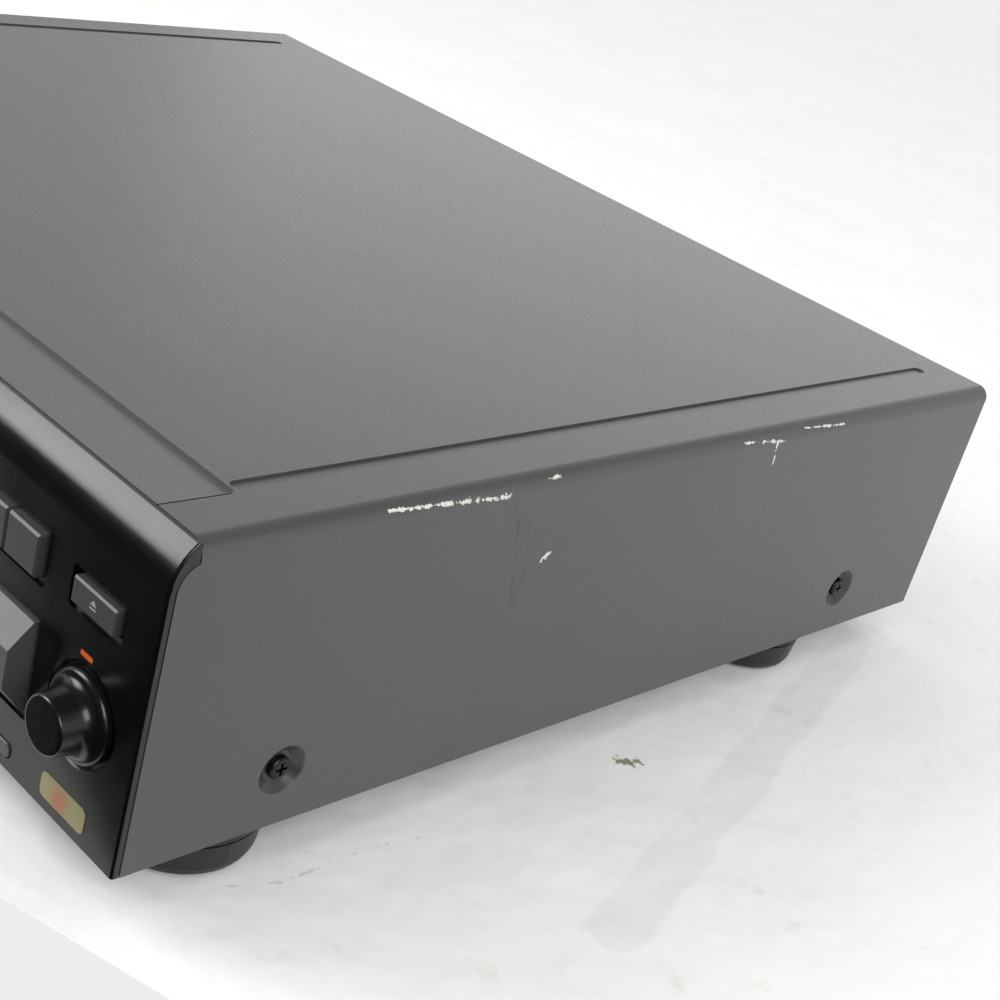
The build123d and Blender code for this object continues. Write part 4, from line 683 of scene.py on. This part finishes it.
class AddKeySymbols(Operator):
    """Print the plain symbols on the keys and the ticks round the level knob"""

    bl_idname = "changer.add_key_symbols"
    bl_label = "Key symbols"

    def execute(self, context):
        marks = context.scene.changer_marks
        ink = grained("pad printed ink", marks.symbol_grey, 0.5, 0.6, 0.01)
        thick = marks.print_thick

        def middle(name, raised=0.0):
            low, high = node_box(name)
            return Vector(((low.x + high.x) / 2, low.y - thick / 2, (low.z + high.z) / 2 + raised * MM))

        def shape(at, x, z, width, height, corner=0.12, **more):
            centre = at + Vector((x, 0, z)) * MM
            return front_shape(centre, width * MM, thick, height * MM, corner * MM, **more)

        at = middle("open_close_key")
        eject = [shape(at, 0, 0.55, 2.6, 1.5, sides=3, turn=0.0), shape(at, 0, -0.85, 2.6, 0.5)]
        settle(joined(eject), "eject_symbol", ink, "open_close_key_body")
        arrow = shape(middle("play_key", 1.0), 0, 0, 4.0, 4.0, sides=3, turn=90.0)
        settle(arrow, "play_symbol", ink, "play_key_body")
        at = middle("pause_key", 1.0)
        bars = [shape(at, x, 0, 1.1, 4.0) for x in (-1.2, 1.2)]
        settle(joined(bars), "pause_symbol", ink, "pause_key_body")
        square = shape(middle("stop_key", 1.0), 0, 0, 3.4, 3.4)
        settle(square, "stop_symbol", ink, "stop_key_body")
        power = shape(middle("power_button"), 0, 0, 0.6, 4.0)
        settle(power, "power_symbol", ink, "power_button_body")

        # eleven ticks round the level knob, from its lower left to its lower right
        low, high = node_box("level_knob")
        ticks = []
        for k in range(11):
            angle = math.radians(-140 + 28 * k)
            reach = 8.4 * MM
            centre = ((low.x + high.x) / 2 + reach * math.sin(angle), FACE_Y - thick / 2,
                      (low.z + high.z) / 2 + reach * math.cos(angle))
            ticks.append(front_shape(centre, 0.4 * MM, thick, 1.6 * MM, 0.1 * MM))
            bpy.ops.transform.rotate(value=angle, orient_axis="Y", center_override=centre)
        settle(joined(ticks), "level_ticks", ink, "player")
        pointer = front_shape(
            ((low.x + high.x) / 2, low.y - thick / 2, high.z - 2.4 * MM), 0.6 * MM, thick, 2.6 * MM, 0.15 * MM
        )
        settle(pointer, "level_pointer", ink, "level")
        return {"FINISHED"}


class AddNumbers(Operator):
    """Print the numbers one to five on the disc keys and beside the wells"""

    bl_idname = "changer.add_numbers"
    bl_label = "Numbers"

    def execute(self, context):
        marks = context.scene.changer_marks
        ink = grained("hot stamped foil", marks.symbol_grey, 0.45, 0.6, 0.01)
        thick = marks.print_thick
        low, high = node_box("carousel_table")
        table = Vector(((low.x + high.x) / 2, (low.y + high.y) / 2, 0))
        top = node_box("disc_dividers")[1].z

        def number(value, size_mm, place, turn):
            only()
            bpy.ops.object.text_add(location=place, rotation=turn)
            text = bpy.context.object
            text.data.body = str(value)
            text.data.align_x = "CENTER"
            text.data.size = size_mm * MM
            text.data.extrude = thick / 2
            text.data.resolution_u = 4
            return text

        for value in range(1, 6):
            low, high = node_box(f"disc_key_{value}")
            place = ((low.x + high.x) / 2, low.y, (low.z + high.z) / 2 - 1.3 * MM)
            text = number(value, 4.0, place, (math.pi / 2, 0, 0))
            settle(text, f"disc_number_{value}", ink, f"disc_key_{value}_body")
            # each well's number stands on the land to its left, seen from the rim
            around = 90 + 72 * (value - 1) - 36
            out = Vector((math.cos(math.radians(around)), math.sin(math.radians(around)), 0))
            place = table + out * NUMBER_REACH + Vector((0, 0, top))
            text = number(value, 11.0, place, (0, 0, math.radians(around + 90)))
            settle(text, f"well_number_{value}", ink, "carousel")
        return {"FINISHED"}


class AddStudio(Operator):
    """Add the cloth on its table, the soft lights and the camera"""

    bl_idname = "changer.add_studio"
    bl_label = "Studio"

    def cloth(self, settings):
        """White cotton over a table whose edge runs just in front of the changer, with soiled marks and a
        painted shadow along a crease.
        """
        edge = CORNER + Vector((-21.0, -18.0, 0)) * MM  # a point of the table's front edge
        slant = math.radians(18.4)
        ahead = Vector((-math.sin(slant), math.cos(slant), 0))
        centre = edge + ahead * CLOTH_SIZE / 2
        only()
        bpy.ops.mesh.primitive_plane_add(
            size=CLOTH_SIZE, location=(centre.x, centre.y, -FLOOR_DROP), rotation=(0, 0, slant)
        )
        floor = bpy.context.object
        bpy.ops.object.transform_apply(location=True, rotation=True, scale=True)
        floor.name = "cloth_floor"
        cotton, tree, shader, coords = surface("woven cotton cloth", settings.cloth_colour, 0.85)
        patch = put(
            tree, "ShaderNodeTexNoise",
            {"Vector": coords, "Scale": 1000 / 90.0, "Detail": 4.0, "Roughness": 0.6},
        )
        dark, light = shades(settings.cloth_colour, 0.05)
        base = put(tree, "ShaderNodeMix", {"Factor": patch, "A": dark, "B": light}, data_type="RGBA")
        soil = put(
            tree, "ShaderNodeTexNoise",
            {"Vector": coords, "Scale": 1000 / 14.0, "Detail": 5.0, "Roughness": 0.7},
        )
        soil = put(
            tree, "ShaderNodeMapRange",
            {"Value": soil, "From Min": 0.60, "From Max": 0.75, "To Max": 0.35},
        )
        base = put(
            tree, "ShaderNodeMix", {"Factor": soil, "A": base, "B": linear("#bdb9b0")}, data_type="RGBA"
        )
        wobble = put(tree, "ShaderNodeTexNoise", {"Vector": coords, "Scale": 1000 / 25.0, "Detail": 3.0})
        wobble = put(
            tree, "ShaderNodeMapRange",
            {"Value": wobble, "From Min": 0.3, "From Max": 0.7, "To Min": 0.75},
        )
        # painted shadow: a grey band along a crease in the cloth, darkened in the colour where the crease
        # falls in shade
        fold = streak(tree, coords, wobble, (66, 120, -14), (-4, 345, -14), 10.0, soft_mm=1.5)
        fold = put(tree, "ShaderNodeMath", {0: fold, 1: 0.13}, operation="MULTIPLY")
        base = put(
            tree, "ShaderNodeMix", {"Factor": fold, "A": base, "B": linear("#a9a7a4")}, data_type="RGBA"
        )
        torn = put(tree, "ShaderNodeTexNoise", {"Vector": coords, "Scale": 1000 / 2.5, "Detail": 4.0})
        torn = put(tree, "ShaderNodeMapRange", {"Value": torn, "From Min": 0.35, "From Max": 0.6})
        crumb = streak(tree, coords, torn, (10.5, 183.5, -14), (13.5, 188, -14), 4.0, soft_mm=1.5)
        base = put(
            tree, "ShaderNodeMix", {"Factor": crumb, "A": base, "B": linear("#8b8672")}, data_type="RGBA"
        )
        lines = strongest(tree, [streak(tree, coords, torn, *mark, 0.9, soft_mm=0.5) for mark in SCRIBBLES])
        lines = put(tree, "ShaderNodeMath", {0: lines, 1: 0.55}, operation="MULTIPLY")
        base = put(
            tree, "ShaderNodeMix", {"Factor": lines, "A": base, "B": linear("#9a9896")}, data_type="RGBA"
        )
        relief = put(tree, "ShaderNodeBump", {"Height": patch, "Distance": 4.0 * MM})
        drive(tree, shader, Base_Color=base, Normal=relief)
        floor.data.materials.append(cotton)

    def room(self, scene, settings):
        """A pale background for the camera, and a soft room that is dark below the table's top."""
        world = bpy.data.worlds.new("room")
        scene.world = world
        world.use_nodes = True
        tree = world.node_tree
        tree.nodes.clear()
        path = put(tree, "ShaderNodeLightPath").node.outputs
        direction = put(tree, "ShaderNodeTexCoord").node.outputs["Generated"]
        toward = put(tree, "ShaderNodeSeparateXYZ", {"Vector": direction}).node.outputs
        # what shines mirrors a darker ceiling, and the dark part of the room in front of the table
        above = {"Value": toward["Z"], "From Min": -0.08, "From Max": 0.04, "To Min": 0.03, "To Max": 1.0}
        ceiling = {"Value": toward["Z"], "From Min": 0.42, "From Max": 0.65, "To Min": 1.0, "To Max": 0.12}
        front = {"Value": toward["Y"], "From Min": -0.5, "From Max": -0.1, "To Min": 0.07, "To Max": 1.0}
        above, ceiling, front = (put(tree, "ShaderNodeMapRange", part) for part in (above, ceiling, front))
        soft = put(tree, "ShaderNodeMath", {0: above, 1: settings.sky_strength}, operation="MULTIPLY")
        shine = put(tree, "ShaderNodeMath", {0: above, 1: ceiling}, operation="MULTIPLY")
        shine = put(tree, "ShaderNodeMath", {0: shine, 1: front}, operation="MULTIPLY")
        mirrored = put(
            tree, "ShaderNodeMath", {0: path["Is Glossy Ray"], 1: path["Is Transmission Ray"]},
            operation="MAXIMUM",
        )
        strength = put(
            tree, "ShaderNodeMix", {"Factor": mirrored, "A": soft, "B": shine}, data_type="FLOAT"
        )
        strength = put(
            tree, "ShaderNodeMix", {"Factor": path["Is Camera Ray"], "A": strength, "B": 0.95},
            data_type="FLOAT",
        )
        back = put(
            tree, "ShaderNodeBackground", {"Color": linear(settings.background), "Strength": strength}
        )
        put(tree, "ShaderNodeOutputWorld", {"Surface": back})

    def softbox(self, scene, name, place, power, width, height):
        """A soft light that faces the cover's corner, with its place given from there."""
        data = bpy.data.lights.new(name, "AREA")
        data.shape = "RECTANGLE"
        data.size = width
        data.size_y = height
        data.energy = power
        lamp = bpy.data.objects.new(name, data)
        lamp.location = CORNER + Vector(place)
        lamp.rotation_euler = (-Vector(place)).to_track_quat("-Z", "Y").to_euler()
        lamp.visible_camera = False
        scene.collection.objects.link(lamp)

    def camera(self, scene, settings):
        """The camera at the photograph's place and angle."""
        azimuth, elevation, roll = (math.radians(v) for v in settings.camera_turn)
        level = Vector((math.sin(azimuth), math.cos(azimuth), 0))
        ahead = level * math.cos(elevation) - Vector((0, 0, math.sin(elevation)))
        right = ahead.cross(Vector((0, 0, 1))).normalized()
        up = right.cross(ahead)
        across = right * math.cos(roll) + up * math.sin(roll)
        upward = up * math.cos(roll) - right * math.sin(roll)
        data = bpy.data.cameras.new("camera")
        data.sensor_width = 36.0
        data.lens = settings.lens
        data.clip_start = 0.01
        data.clip_end = 100.0
        camera = bpy.data.objects.new("camera", data)
        turn = Matrix((across, upward, -ahead)).transposed().to_4x4()
        camera.matrix_world = Matrix.Translation(CORNER + Vector(settings.camera_place)) @ turn
        scene.collection.objects.link(camera)
        scene.camera = camera

    def execute(self, context):
        settings = context.scene.changer_studio
        scene = context.scene
        self.cloth(settings)
        self.room(scene, settings)
        # a tall light on the left gleams along the bezel, one at the back lights the roof, and the last
        # fills the shadow on the right
        self.softbox(scene, "tall_softbox", (-1.24, -0.97, 0.9), settings.key_power, 0.8, 1.15)
        self.softbox(scene, "back_softbox", (-2.6, 5.0, 1.15), settings.back_power, 5.2, 1.6)
        self.softbox(scene, "fill_softbox", (1.5, -0.6, 1.2), settings.fill_power, 1.0, 1.0)
        self.camera(scene, settings)
        scene.view_settings.view_transform = "Standard"
        return {"FINISHED"}


class ChangerPanel(Panel):
    """The steps that dress the changer, in order"""

    bl_idname = "VIEW3D_PT_disc_changer"
    bl_label = "Disc changer"
    bl_space_type = "VIEW_3D"
    bl_region_type = "UI"
    bl_category = "Disc changer"

    def draw(self, context):
        layout = self.layout
        for group in (context.scene.changer_finish, context.scene.changer_marks, context.scene.changer_studio):
            box = layout.box()
            for name in group.__annotations__:
                box.prop(group, name)
        for step in STEPS:
            layout.operator(step.bl_idname)


STEPS = (
    DressCover,
    DressFront,
    DressKeys,
    DressFeet,
    DressChassis,
    DressMechanism,
    DressElectronics,
    AddLabel,
    AddKeySymbols,
    AddNumbers,
    AddStudio,
)
CLASSES = (FinishSettings, MarkSettings, StudioSettings, *STEPS, ChangerPanel)


def register():
    for cls in CLASSES:
        bpy.utils.register_class(cls)
    bpy.types.Scene.changer_finish = PointerProperty(type=FinishSettings)
    bpy.types.Scene.changer_marks = PointerProperty(type=MarkSettings)
    bpy.types.Scene.changer_studio = PointerProperty(type=StudioSettings)


def unregister():
    del bpy.types.Scene.changer_studio
    del bpy.types.Scene.changer_marks
    del bpy.types.Scene.changer_finish
    for cls in reversed(CLASSES):
        bpy.utils.unregister_class(cls)


def main():
    register()
    for step in STEPS:
        group, name = step.bl_idname.split(".")
        getattr(getattr(bpy.ops, group), name)()


if __name__ == "__main__":
    main()
